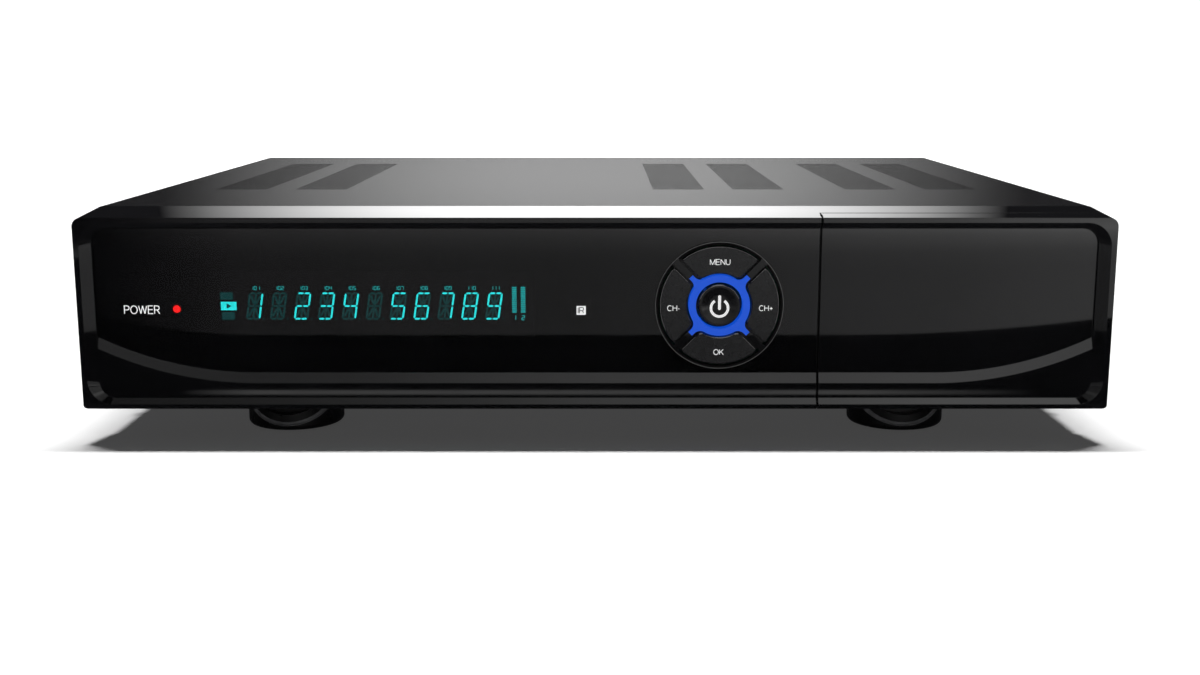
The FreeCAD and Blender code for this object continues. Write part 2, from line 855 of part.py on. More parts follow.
def cover_screws():
    screw = pan_screw("cover_screw", "screw_length")
    spots = [(f"{side} * cover_half", y, SIDE_SCREW_Z) for side in (-1, 1) for y in SIDE_SCREWS_Y]
    group("cover_screws", screw, spots, [TO_LEFT] * 3 + [TO_RIGHT] * 3)


def rear_panel():
    panel = new_body("rear_panel")
    pad(panel, "XZ", "panel_inner", "rear_y",
        rectangle("-floor_half", "tray_top", "floor_half", "lid_under"))
    pad(panel, "XY", "lid_under - steel", "lid_under",
        rectangle("-inner_half", "rear_y - lip_reach", "inner_half", "panel_inner"))
    fillet(panel, "bend_radius - cover_wall", lambda edge: line_along(edge, "y")
           and any(lies_at(edge, x=x, z="lid_under") for x in ("-floor_half", "floor_half")))
    cut(panel, "XZ", "panel_inner", "rear_y",
        centred("inlet_x", "inlet_z", "inlet_width", "inlet_height", "fit_gap"),
        centred("inlet_x", "rocker_z", "switch_width", "switch_tall", "fit_gap"),
        centred("serial_x", "serial_z", "serial_shell", "serial_tall", "rest_gap"),
        *(circle(x, z, "screw_radius + rest_gap") for x, z in SERIAL_POSTS),
        centred("lan_x", "lan_z", "lan_width", "lan_height", "rest_gap"),
        centred("hdmi_x", "hdmi_z", "hdmi_width", "hdmi_height", "rest_gap"),
        *(circle(x, z, "phono_radius + rest_gap") for x, z in PHONOS),
        *(centred("scart_x", z, "scart_width - scart_flange * 2", "scart_mouth", "rest_gap")
          for z in SCARTS),
        *(circle(x, z, "aerial_radius + rest_gap") for x, z in AERIALS),
        *(circle(x, z, "screw_radius + rest_gap") for x, z in FAN_SCREWS))
    # fan grille: slots that stand like rays about the fan
    grille = cut(panel, "XZ", "panel_inner", "rear_y",
                 rectangle("fan_hub", "-vent_slot / 2", "fan_bore - vent_slot / 2", "vent_slot / 2"),
                 corner=("fan_x", "fan_z"))
    ring_of(panel, grille, GRILLE_SLOTS)


# Feet


def feet():
    foot = master("foot")
    turned(foot, ("0", "foot_pad_thick"), ("foot_pad_radius + rest_gap", "foot_pad_thick"),
           ("foot_pad_radius + rest_gap", "foot_stand"), ("foot_radius", "foot_stand"),
           ("foot_radius", "tray_lift"), ("0", "tray_lift"))
    fillet(foot, "foot_edge", lambda edge: lies_at(edge, z="foot_stand")
           and edge.BoundBox.XLength > number("foot_radius * 2") - 0.1)
    cut(foot, "XZ", "-foot_radius", "scoop_depth - foot_radius",
        circle("0", "scoop_lift + scoop_radius", "scoop_radius"))
    cut(foot, "XY", "foot_pad_thick", "tray_lift", circle("0", "0", "screw_radius + rest_gap"))
    cut(foot, "XY", "foot_pad_thick", "foot_pad_thick + screw_head_height",
        circle("0", "0", "screw_head + rest_gap"))
    same("feet", foot, [(x, y, "0") for x, y in FEET])
    rubber = master("rubber_disc")
    pad(rubber, "XY", "0", "foot_pad_thick", circle("0", "0", "foot_pad_radius"))
    chamfer(rubber, "rest_gap", lambda edge: lies_at(edge, z="0"))
    same("foot_pads", rubber, [(x, y, "0") for x, y in FEET])
    screw = pan_screw("foot_screw", "tray_top - foot_pad_thick - screw_head_height")
    under = "foot_pad_thick + screw_head_height"
    same("foot_screws", screw, [(x, y, under) for x, y in FEET], TO_FLOOR)


# Sculpted front, shared by the bezel and the door


def smile(side, top, low, radius, corner):
    """A wide outline whose bottom is straight in the middle and rises in an arc to both sides."""
    ends = f"({low} + {radius} - sqrt(({radius})^2 - ({side} - smile_turn)^2))"
    return outline(
        ("-smile_turn", low),
        ("smile_turn", low, radius, "left"),
        (side, ends),
        (side, f"{top} - {corner}", corner, "left"),
        (f"{side} - {corner}", top),
        (f"{corner} - {side}", top, corner, "left"),
        (f"-({side})", f"{top} - {corner}"),
        (f"-({side})", ends, radius, "left"),
    )


def front_block(half, top):
    """A rectangle about the middle with larger corners at the top than at the bottom."""
    low, corner, foot = "bezel_lift", "top_corner", "bottom_corner"
    return outline(
        (f"{foot} - {half}", low),
        (f"{half} - {foot}", low, foot, "left"),
        (half, f"{low} + {foot}"),
        (half, f"{top} - {corner}", corner, "left"),
        (f"{half} - {corner}", top),
        (f"{corner} - {half}", top, corner, "left"),
        (f"-{half}", f"{top} - {corner}"),
        (f"-{half}", f"{low} + {foot}", foot, "left"),
    )


def sculpted_front(part):
    """The front's whole form: a block that narrows to the back under a sloped top, with a dish
    bevelled all round and a deeper well whose lower edge is smile shaped."""
    face = sketch(part, "XZ", "front_y")
    front_block("half_width", "bezel_top")(face)
    back = sketch(part, "XZ", "cover_front")
    front_block("(half_width - side_taper)", "cover_top")(back)
    loft(part, "Additive", face, back)
    # the bottom front edge is round
    cut(part, "YZ", "-half_width", "half_width", outline(
        ("front_y", "bezel_lift"),
        ("front_y + front_round", "bezel_lift", "front_round", "right"),
        ("front_y", "bezel_lift + front_round")))
    dish = sketch(part, "XZ", "front_y")
    rounded("-dish_side", "dish_low", "dish_side", "dish_top", "dish_corner")(dish)
    well = sketch(part, "XZ", "dish_y")
    rounded("-well_side", "well_low", "well_side", "well_top", "well_corner")(well)
    loft(part, "Subtractive", dish, well)
    lip = sketch(part, "XZ", "dish_y")
    smile("(well_side - recess_edge / 3)", "(well_top - recess_edge / 3)", "smile_low",
          "(smile_radius + smile_bevel)", "(well_corner - recess_edge / 3)")(lip)
    floor = sketch(part, "XZ", "panel_y")
    smile("panel_side", "panel_top", "panel_low", "smile_radius", "(well_corner - recess_edge)")(floor)
    loft(part, "Subtractive", lip, floor)


def window_edge(inset):
    """The left part of the well's floor, up to the end of the fixed front."""
    side = f"(panel_side - {inset})"
    top = f"(panel_top - {inset})"
    low = f"(panel_low + {inset})"
    radius = f"(smile_radius - {inset})"
    corner = "(well_corner - recess_edge)"
    rise = f"({low} + {radius} - sqrt({radius}^2 - ({side} - smile_turn)^2))"
    return outline(
        ("-smile_turn", low),
        ("fixed_end", low),
        ("fixed_end", top),
        (f"{corner} - {side}", top, corner, "left"),
        (f"-{side}", f"{top} - {corner}"),
        (f"-{side}", rise, radius, "left"),
    )


def front_bezel():
    bezel = new_body("front_bezel")
    sculpted_front(bezel)
    cut(bezel, "XZ", "front_y", "bay_face",
        rectangle("fixed_end", "bezel_lift - steel", "half_width + steel", "cover_top + steel"))
    # seat of the window, then the hollow behind the display and behind the door
    cut(bezel, "XZ", "panel_y", "window_back", window_edge("0"))
    inside = "(half_width - side_taper - front_wall)"
    cut(bezel, "XZ", "seat_back", "cover_front",
        rectangle(f"-{inside}", "tray_top", "fixed_end - front_wall", "bezel_top - front_wall"))
    cut(bezel, "XZ", "bay_seat", "cover_front",
        rectangle("fixed_end - front_wall", "tray_top", inside, "bezel_top - front_wall"))
    # openings for the display, the lamp, the infrared eye, the key pad and the card bay
    cut(bezel, "XZ", "window_back", "seat_back",
        centred("display_x", "display_z", "display_width", "display_height", "rest_gap"),
        circle("lamp_x", "lamp_z", "lamp_radius + rest_gap"),
        centred("eye_x", "lamp_z", "eye_width", "eye_width", "rest_gap"),
        circle("pad_x", "pad_z", "pad_radius + rest_gap"))
    cut(bezel, "XZ", "bay_face", "bay_seat",
        rectangle("bay_left", "bay_low", "bay_right", "bay_high"),
        circle("magnet_x", "magnet_z", "magnet_radius + fit_gap"))
    # bosses that carry the front board
    pad(bezel, "XZ", "seat_back", "board_y", *(circle(x, z, "boss_radius") for x, z in BOSSES))
    cut(bezel, "XZ", "seat_back", "board_y",
        *(circle(x, z, "screw_radius + fit_gap") for x, z in BOSSES))
    # hooks that reach under the tray
    pad(bezel, "XY", "bezel_lift + rest_gap", "tray_lift",
        *(rectangle(f"{x} - lip_reach", "cover_front - steel", f"{x} + lip_reach",
                    "cover_front + lip_reach")
          for x in ("-(hook_inner + hook_pitch)", "-hook_inner", "hook_inner",
                    "hook_inner + hook_pitch")))
    # ears that carry the door's pins
    for x in ("hinge_left", "hinge_right"):
        pad(bezel, "YZ", f"{x} - ear_width / 2", f"{x} + ear_width / 2", outline(
            ("bay_face + steel", "hinge_z - ear_radius"),
            ("bay_face + steel", "hinge_z + ear_radius"),
            ("hinge_y", "hinge_z + ear_radius", "ear_radius", "left"),
            ("hinge_y - ear_radius", "hinge_z", "ear_radius", "left"),
            ("hinge_y", "hinge_z - ear_radius")))
        cut(bezel, "YZ", f"{x} - ear_width / 2", f"{x} + ear_width / 2",
            circle("hinge_y", "hinge_z", "pin_radius + fit_gap"))


def front_window():
    """Smoked window, with a round hole for the key pad."""
    window = new_body("front_window")
    pad(window, "XZ", "panel_y", "window_back", window_edge("window_gap"),
        circle("pad_x", "pad_z", "pad_radius + window_gap"))


# Door


def door():
    flap = new_body("door")
    sculpted_front(flap)
    below, above = "bezel_lift - steel", "cover_top + steel"
    cut(flap, "XZ", "door_back", "cover_front",
        rectangle("-half_width", below, "half_width", above))
    cut(flap, "XZ", "front_y", "door_back",
        rectangle("-half_width - steel", below, "door_start", above))
    # hollow back, and the edge that turns about the hinge
    cut(flap, "XZ", "panel_y + door_skin", "door_back",
        rectangle("bay_left", "bay_low + ear_width", "bay_right", "bay_high"))
    cut(flap, "YZ", "door_start", "half_width", outline(
        ("hinge_y", "bezel_lift"),
        ("door_back + steel", "bezel_lift"),
        ("door_back + steel", "hinge_z"),
        ("hinge_y + hinge_lift", "hinge_z", "hinge_lift", "right")))
    notch = "(ear_radius + rest_gap)"
    for x in ("hinge_left", "hinge_right"):
        cut(flap, "YZ", f"{x} - ear_width / 2 - rest_gap", f"{x} + ear_width / 2 + rest_gap",
            rectangle(f"hinge_y - {notch}", "bezel_lift", "door_back", f"hinge_z + {notch}"))
        cut(flap, "YZ", f"{x} - pin_length / 2", f"{x} + pin_length / 2",
            circle("hinge_y", "hinge_z", "pin_radius + fit_gap"))
    cut(flap, "XZ", "door_back - striker_thick", "door_back",
        circle("magnet_x", "magnet_z", "magnet_radius + fit_gap"))


def door_fittings():
    pin_body = master("door_pin")
    pad(pin_body, "YZ", "-pin_length / 2", "pin_length / 2", circle("0", "0", "pin_radius"))
    same("door_pins", pin_body, [(x, "hinge_y", "hinge_z") for x in ("hinge_left", "hinge_right")])
    magnet = new_body("door_magnet")
    pad(magnet, "XZ", "bay_face", "bay_seat", circle("magnet_x", "magnet_z", "magnet_radius"))
    striker = new_body("door_striker")
    pad(striker, "XZ", "door_back - striker_thick", "door_back",
        circle("magnet_x", "magnet_z", "magnet_radius"))


# Card bay behind the door


def card_bay():
    """A moulded tub with a rim, and slots for two modules, a chip card and a memory stick."""
    bay = new_body("card_bay")
    pad(bay, "XZ", "bay_seat", "bay_seat + bay_wall",
        rectangle("bay_left - bay_wall * 2", "bay_low - bay_wall * 2",
                  "bay_right + bay_wall * 2", "bay_high + bay_wall * 2"))
    pad(bay, "XZ", "bay_seat", "bay_back",
        rectangle("bay_left - bay_wall", "bay_low - bay_wall", "bay_right + bay_wall",
                  "bay_high + bay_wall"))
    cut(bay, "XZ", "bay_seat", "bay_floor", rectangle("bay_left", "bay_low", "bay_right", "bay_high"))
    cut(bay, "XZ", "bay_floor", "bay_back",
        *(centred("cage_x", z, "card_width", "card_slot") for z in CARD_SLOTS),
        centred("cage_x", "reader_z", "card_width", "chip_slot"),
        centred("usb_x", "usb_z", "usb_width", "usb_height", "rest_gap"))


def ci_cage():
    """Guide cage for two interface modules, open at the front and down both sides."""
    cage = new_body("ci_cage")
    pad(cage, "XZ", "main_front", "main_front + cage_length",
        rectangle("cage_x - cage_width / 2", "deck_top", "cage_x + cage_width / 2", "cage_top"))
    cut(cage, "XZ", "main_front", "main_front + cage_length - front_wall",
        *(centred("cage_x", z, "card_width", "card_slot") for z in CARD_SLOTS))
    wall = "(cage_width - card_width) / 2"
    cut(cage, "XZ", "main_front", "main_front + cage_length - front_wall",
        rectangle(f"cage_x - cage_width / 2 + {wall} * 2", "card_low + card_slot / 2 + bay_wall",
                  f"cage_x + cage_width / 2 - {wall} * 2",
                  "card_low + card_pitch - card_slot / 2 - bay_wall"))


def smartcard_reader():
    reader = new_body("smartcard_reader")
    pad(reader, "XZ", "main_front", "main_front + reader_length",
        rectangle("cage_x - cage_width / 2", "cage_top", "cage_x + cage_width / 2",
                  "cage_top + reader_height"))
    cut(reader, "XZ", "main_front", "main_front + reader_length - front_wall",
        centred("cage_x", "reader_z", "card_width", "chip_slot"))
    cut(reader, "XY", "reader_z + chip_slot / 2", "cage_top + reader_height",
        centred("cage_x", "main_front + reader_length / 2", "card_width / 2", "reader_length / 2"))


def usb_front():
    usb = new_body("usb_front")
    pad(usb, "XZ", "main_front", "main_front + usb_length",
        centred("usb_x", "usb_z", "usb_width", "usb_height"))
    cut(usb, "XZ", "main_front", "main_front + usb_length - bay_wall",
        centred("usb_x", "usb_z", "usb_width - bay_wall", "usb_height - bay_wall"))
    pad(usb, "XZ", "main_front + bay_wall", "main_front + usb_length - bay_wall",
        centred("usb_x", "usb_z + bay_wall", "usb_width - bay_wall * 2", "bay_wall"))


# Key pad, its light ring and what stands on the front board


def key_outline(outer, inner, side):
    """A quarter of a ring, its straight sides parallel to the diagonals at a distance."""

    def across(radius):
        return f"((sqrt(2 * ({radius})^2 - 2 * ({side})^2) - sqrt(2) * ({side})) / 2)"

    def up(radius):
        return f"((sqrt(2 * ({radius})^2 - 2 * ({side})^2) + sqrt(2) * ({side})) / 2)"

    return outline(
        (f"-{across(inner)}", up(inner), inner, "right"),
        (across(inner), up(inner)),
        (across(outer), up(outer), outer, "left"),
        (f"-{across(outer)}", up(outer)),
    )


def pad_frame():
    """Thin ring with four spokes on the diagonals and a flange that bears behind the bezel."""
    frame = new_body("pad_frame")
    middle = ("pad_x", "pad_z")
    pad(frame, "XZ", "pad_face", "seat_back + key_flange",
        circle("0", "0", "pad_radius"), circle("0", "0", "pad_hole"), corner=middle)
    pad(frame, "XZ", "seat_back", "seat_back + key_flange",
        circle("0", "0", "pad_radius + front_wall"), circle("0", "0", "pad_hole"), corner=middle)
    for turn in (45, 135, 225, 315):
        pad(frame, "XZ", "pad_face", "key_back",
            rectangle("ring_radius + fit_gap", "-spoke_width / 2", "pad_radius - pad_wall / 2",
                      "spoke_width / 2"), corner=middle, turn=turn)
        # the ring's ray lies on a step at the spoke's inner end
        cut(frame, "XZ", "pad_face", "pad_face + spoke_thick / 2 + fit_gap",
            rectangle("ring_radius", "-spoke_width", "ring_tip + fit_gap", "spoke_width"),
            corner=middle, turn=turn)


def light_ring():
    """Clear ring lit from behind, which flares into four short rays on the diagonals, with legs
    to the board."""
    ring = new_body("light_ring")
    middle = ("pad_x", "pad_z")
    clear = number("ring_radius / 2")

    def joins_ray(edge):
        centre = edge.BoundBox.Center
        across, up = abs(centre.x - number("pad_x")), abs(centre.z - number("pad_z"))
        on_rim = abs(math.hypot(across, up) - number("ring_radius")) < 0.01
        return line_along(edge, "y") and on_rim and min(across, up) > clear

    pad(ring, "XZ", "pad_face", "ring_back",
        circle("0", "0", "ring_radius"), circle("0", "0", "ring_hole"), corner=middle)
    leg = "(ring_radius + ring_hole) / 2"
    for turn in (45, 135, 225, 315):
        pad(ring, "XZ", "pad_face", "pad_face + spoke_thick / 2",
            rectangle("ring_radius - steel", "-ring_tip_width / 2", "ring_tip",
                      "ring_tip_width / 2"), corner=middle, turn=turn)
    fillet(ring, "key_hollow + key_gap", joins_ray)
    for turn in (45, 135, 225, 315):
        pad(ring, "XZ", "ring_back", "board_y", circle(leg, "0", "steel"), corner=middle, turn=turn)


def sector_key(name, turn):
    key = new_body(name)
    middle = ("pad_x", "pad_z")
    pad(key, "XZ", "key_face", "key_back", key_outline("key_outer", "key_inner", "key_side"),
        corner=middle, turn=turn)
    radius = {True: number("key_outer"), False: number("key_inner")}

    def near(edge, outer):
        centre = edge.BoundBox.Center
        reach = math.hypot(centre.x - number("pad_x"), centre.z - number("pad_z"))
        return line_along(edge, "y") and abs(reach - radius[outer]) < 0.01

    fillet(key, "key_corner", lambda edge: near(edge, True))
    fillet(key, "key_hollow", lambda edge: near(edge, False))
    chamfer(key, "key_edge", lambda edge: lies_at(edge, y="key_face"))
    pad(key, "XZ", "key_back", "flange_y", key_outline("key_outer", "key_inner", "key_side + key_gap"),
        corner=middle, turn=turn)
    pad(key, "XZ", "flange_y", "flange_y + key_flange",
        key_outline("key_outer", "key_inner", "rest_gap"), corner=middle, turn=turn)
    pad(key, "XZ", "flange_y + key_flange", "stem_end", circle("0", "key_spot", "stem_radius"),
        corner=middle, turn=turn)


def power_key():
    key = new_body("power_key")
    middle = ("pad_x", "pad_z")
    pad(key, "XZ", "key_face", "ears_y", circle("0", "0", "power_radius"), corner=middle)
    chamfer(key, "key_edge", lambda edge: lies_at(edge, y="key_face"))
    # shallow hollow for a fingertip
    bowl = sketch(key, "XZ", "key_face", middle)
    circle("0", "0", "power_radius - steel")(bowl)
    deep = sketch(key, "XZ", "key_face + key_gap", middle)
    circle("0", "0", "power_radius / 2")(deep)
    loft(key, "Subtractive", bowl, deep)
    ears = "(ring_radius + ring_hole) / 2"
    pad(key, "XZ", "ears_y", "ears_y + key_flange / 2",
        rectangle(f"-{ears}", "-stem_radius", ears, "stem_radius"), corner=middle)
    pad(key, "XZ", "ears_y + key_flange / 2", "stem_end", circle("0", "0", "stem_radius"), corner=middle)


def tact_switches():
    """Five switches, each with a well in which the key's stem meets the snap dome."""
    switch = master("tact_switch")
    pad(switch, "XZ", "0", "switch_height", centred("0", "0", "switch_side", "switch_side"))
    chamfer(switch, "rest_gap", lambda edge: line_along(edge, "y"))
    cut(switch, "XZ", "0", "stem_reach + key_travel + rest_gap", circle("0", "0", "switch_bore"))
    spots = [("0", "0"), ("0", "key_spot"), ("key_spot", "0"), ("0", "-key_spot"), ("-key_spot", "0")]
    same("tact_switches", switch, [(f"pad_x + {x}", "switch_y", f"pad_z + {z}") for x, z in spots])


def front_board():
    board = new_body("front_board")
    pad(board, "XZ", "board_y", "board_back",
        rectangle("board_left", "board_low", "board_right", "board_high"),
        *(circle(x, z, "screw_radius + fit_gap") for x, z in BOSSES))
    chamfer(board, "board_thick", lambda edge: line_along(edge, "y")
            and any(lies_at(edge, x=x) for x in ("board_left", "board_right")))
    screw = master("board_screw")
    turned(screw, ("0", "-screw_length"), ("screw_radius", "-screw_length"), ("screw_radius", "0"),
           ("screw_head", "0"), ("screw_head", "steel"), ("0", "steel"))
    same("front_board_screws", screw, [(x, "board_back", z) for x, z in BOSSES], TO_BACK)


def display_tube():
    """Flat glass vacuum display with the sealed tip of its pump stem at one end."""
    tube = new_body("display_tube")
    pad(tube, "XZ", "window_back + rest_gap", "board_y",
        centred("display_x", "display_z", "display_width", "display_height"))
    chamfer(tube, "key_gap", lambda edge: lies_at(edge, y="window_back + rest_gap"))
    pad(tube, "YZ", "display_right", "display_right + front_wall",
        circle("board_y - front_wall", "display_z", "front_wall / 2"))


def lamp_and_eye():
    lamp = new_body("power_lamp")
    pad(lamp, "XZ", "window_back + key_gap", "board_y", circle("lamp_x", "lamp_z", "lamp_radius"))
    fillet(lamp, "lamp_radius - rest_gap", lambda edge: lies_at(edge, y="window_back + key_gap"))
    pad(lamp, "XZ", "board_y - steel", "board_y", circle("lamp_x", "lamp_z", "lamp_radius + rest_gap"))
    eye = new_body("infrared_eye")
    pad(eye, "XZ", "seat_back - steel", "board_y",
        centred("eye_x", "lamp_z", "eye_width", "eye_width"))
    dome = sketch(eye, "XZ", "seat_back - steel")
    circle("eye_x", "lamp_z", "eye_lens")(dome)
    tip = sketch(eye, "XZ", "window_back + rest_gap")
    circle("eye_x", "lamp_z", "eye_lens / 2")(tip)
    loft(eye, "Additive", dome, tip)


# Main board, its standoffs and what it carries


def main_board():
    board = new_body("main_board")
    pad(board, "XY", "deck", "deck_top",
        rectangle("main_left", "main_front", "main_right", "main_rear"),
        *(circle(x, y, "screw_radius + rest_gap") for x, y in MAIN_SCREWS))


def standoffs():
    post = master("standoff")
    pad(post, "XY", "0", "standoff_height", hexagon("standoff_radius"),
        circle("0", "0", "screw_radius + fit_gap"))
    spots = MAIN_SCREWS + SUPPLY_SCREWS
    same("board_standoffs", post, [(x, y, "tray_top") for x, y in spots])
    screw = pan_screw("deck_screw", "board_thick + screw_length")
    same("board_screws", screw, [(x, y, "deck_top") for x, y in spots])


def processor_sink():
    sink = new_body("processor_sink")
    half, wide = "sink_side / 2", f"(sink_pitch * {SINK_GAPS} + sink_fin)"
    pad(sink, "XY", "deck_top", "deck_top + sink_height",
        centred("main_mid", "0", wide, "sink_side"))
    gap = cut(sink, "XZ", f"-{half}", half,
              rectangle(f"main_mid - {wide} / 2 + sink_fin", "deck_top + sink_pitch",
                        f"main_mid - {wide} / 2 + sink_pitch", "deck_top + sink_height"))
    row(sink, gap, "H", "sink_pitch", SINK_GAPS)


def ribbon_cable():
    """Flat cable from the front board through the tray's front wall down to the main board."""
    ribbon = new_body("ribbon_cable")
    far, half = "main_front + standoff_height", "ribbon_thick / 2"
    pad(ribbon, "YZ", "ribbon_x - ribbon_width / 2", "ribbon_x + ribbon_width / 2", outline(
        ("board_back", f"ribbon_z - {half}"),
        (f"{far} - {half}", f"ribbon_z - {half}"),
        (f"{far} - {half}", "deck_top"),
        (f"{far} + {half}", "deck_top"),
        (f"{far} + {half}", f"ribbon_z + {half}"),
        ("board_back", f"ribbon_z + {half}")))
    fillet(ribbon, "ribbon_thick * 2", lambda edge: line_along(edge, "x")
           and lies_at(edge, y=f"{far} + {half}", z=f"ribbon_z + {half}"))
    fillet(ribbon, "ribbon_thick", lambda edge: line_along(edge, "x")
           and lies_at(edge, y=f"{far} - {half}", z=f"ribbon_z - {half}"))


# Tuners and sockets on the back


def tuner(name, base):
    """Screened box with two threaded barrels that pass through the rear panel."""
    can = new_body(name)
    pad(can, "XY", base, f"{base} + tuner_height",
        rectangle("tuner_x - tuner_width / 2", "tuner_rear - tuner_length",
                  "tuner_x + tuner_width / 2", "tuner_rear"))
    chamfer(can, "rest_gap", lambda edge: lies_at(edge, z=f"{base} + tuner_height"))
    middle = f"{base} + tuner_height / 2"
    sides = ("tuner_x - aerial_pitch / 2", "tuner_x + aerial_pitch / 2")
    # the thread under the nut is drawn at its root
    pad(can, "XZ", "tuner_rear", "nut_front", *(circle(x, middle, "aerial_neck") for x in sides))
    pad(can, "XZ", "nut_front", "rear_y + connector_reach",
        *(circle(x, middle, "aerial_radius") for x in sides))
    chamfer(can, "rest_gap", lambda edge: lies_at(edge, y="rear_y + connector_reach"))
    cut(can, "XZ", "rear_y + connector_reach - steel", "rear_y + connector_reach",
        *(circle(x, middle, "aerial_bore") for x in sides))


def tuner_bracket():
    bracket = new_body("tuner_bracket")
    inner, outer = "(tuner_width / 2 + rest_gap)", "bracket_half"
    plate = "deck_top + tuner_rise"
    pad(bracket, "XZ", "tuner_rear - tuner_length", "tuner_rear", outline(
        (f"tuner_x - {outer}", "deck_top"),
        (f"tuner_x - {inner}", "deck_top"),
        (f"tuner_x - {inner}", f"{plate} - steel"),
        (f"tuner_x + {inner}", f"{plate} - steel"),
        (f"tuner_x + {inner}", "deck_top"),
        (f"tuner_x + {outer}", "deck_top"),
        (f"tuner_x + {outer}", plate),
        (f"tuner_x - {outer}", plate)))
    window = cut(bracket, "YZ", f"tuner_x - {outer}", f"tuner_x + {outer}",
                 rectangle("tuner_rear - tuner_length + bracket_inset", "deck_top + bracket_inset / 2",
                           "tuner_rear - tuner_length + bracket_inset + bracket_window",
                           "deck_top + tuner_height"))
    row(bracket, window, "H", "tuner_length - bracket_inset * 2 - bracket_window", 2)


def aerial_nuts():
    nut = master("aerial_nut_body")
    pad(nut, "XZ", "0", "aerial_nut_height", hexagon("aerial_nut"),
        circle("0", "0", "aerial_neck + fit_gap"))
    same("aerial_nuts", nut, [(x, "rear_y", z) for x, z in AERIALS])


def phono_block():
    housing = new_body("phono_housing")
    pad(housing, "XZ", "panel_inner - rest_gap - phono_pitch", "panel_inner - rest_gap",
        rectangle("phono_x - phono_width / 2", "deck_top", "phono_x + phono_width / 2",
                  "deck_top + phono_height"))
    chamfer(housing, "steel", lambda edge: line_along(edge, "x")
            and lies_at(edge, y="panel_inner - rest_gap - phono_pitch", z="deck_top + phono_height"))
    ring = master("phono_ring")
    back = "panel_inner - rest_gap"
    pad(ring, "XZ", "0", f"rear_y + phono_reach - ({back})", circle("0", "0", "phono_radius"))
    chamfer(ring, "rest_gap", lambda edge: lies_at(edge, y=f"rear_y + phono_reach - ({back})"))
    cut(ring, "XZ", "steel / 2", f"rear_y + phono_reach - ({back})", circle("0", "0", "phono_bore"))
    same("phono_rings", ring, [(x, back, z) for x, z in PHONOS])


def scart_block():
    block = new_body("scart_block")
    back = "panel_inner - rest_gap"
    half = "(scart_width / 2)"
    pad(block, "XZ", f"{back} - scart_depth", back,
        rectangle(f"scart_x - {half}", "deck_top", f"scart_x + {half}",
                  "deck_top + scart_pitch * 2"))
    rise = "(scart_mouth / 2)"
    wide = "(scart_width / 2 - scart_flange)"

    def mouth(z, inset):
        left, right = f"scart_x - {wide} + {inset}", f"scart_x + {wide} - {inset}"
        low, high = f"{z} - {rise} + {inset}", f"{z} + {rise} - {inset}"
        return outline((left, low), (f"{right} - {rise}", low), (right, f"{low} + {rise}"),
                       (right, high), (left, high))

    pad(block, "XZ", back, "rear_y + scart_reach", *(mouth(z, "0") for z in SCARTS))
    cut(block, "XZ", "rear_y + scart_reach - scart_mouth", "rear_y + scart_reach",
        *(mouth(z, "scart_wall") for z in SCARTS))
    pad(block, "XZ", "rear_y + scart_reach - scart_mouth", "rear_y + scart_reach - steel",
        *(rectangle(f"scart_x - {wide} + scart_wall + scart_tongue", f"{z} - scart_tongue / 2",
                    f"scart_x + {wide} - {rise} - scart_tongue", f"{z} + scart_tongue / 2")
          for z in SCARTS))


def serial_socket():
    """Plug shell with nine pins, a flange behind the panel and two posts that hold it."""
    socket = new_body("serial_socket")
    pad(socket, "XZ", "panel_inner - steel", "panel_inner",
        centred("serial_x", "serial_z", "serial_width", "serial_flange"),
        *(circle(x, z, "screw_radius + fit_gap") for x, z in SERIAL_POSTS))
    half, rise = "(serial_shell / 2)", "(serial_tall / 2)"

    def shell(inset):
        wide, tall = f"({half} - {inset})", f"({rise} - {inset})"
        return outline((f"serial_x - {wide} + serial_slant", f"serial_z - {tall}"),
                       (f"serial_x + {wide} - serial_slant", f"serial_z - {tall}"),
                       (f"serial_x + {wide}", f"serial_z + {tall}"),
                       (f"serial_x - {wide}", f"serial_z + {tall}"))

    pad(socket, "XZ", "panel_inner - serial_tall", "panel_inner - steel", shell("0"))
    pad(socket, "XZ", "panel_inner", "rear_y + serial_reach", shell("0"))
    cut(socket, "XZ", "rear_y", "rear_y + serial_reach", shell("serial_wall"))
    pins = [(f"serial_x + {i - 2} * contact_pitch", "serial_z + contact_rise") for i in range(5)]
    pins += [(f"serial_x + {i - 1.5} * contact_pitch", "serial_z - contact_rise") for i in range(4)]
    pad(socket, "XZ", "rear_y", "rear_y + serial_reach - steel",
        *(circle(x, z, "contact_radius") for x, z in pins))
    post = master("serial_post_body")
    pad(post, "XZ", "-steel * 3", "0", circle("0", "0", "screw_radius"))
    pad(post, "XZ", "0", "serial_reach - steel", hexagon("serial_nut"))
    same("serial_posts", post, [(x, "rear_y", z) for x, z in SERIAL_POSTS])


def lan_socket():
    socket = new_body("lan_socket")
    pad(socket, "XZ", "rear_y - lan_depth", "rear_y",
        centred("lan_x", "lan_z", "lan_width", "lan_height"))
    cut(socket, "XZ", "rear_y - lan_mouth_depth", "rear_y",
        centred("lan_x", "lan_z + steel", "lan_mouth_width", "lan_mouth_height"))
    cut(socket, "XZ", "rear_y - lan_mouth_depth", "rear_y",
        rectangle("lan_x - lan_latch_width / 2", "lan_z + steel - lan_mouth_height / 2 - lan_latch_drop",
                  "lan_x + lan_latch_width / 2", "lan_z"))


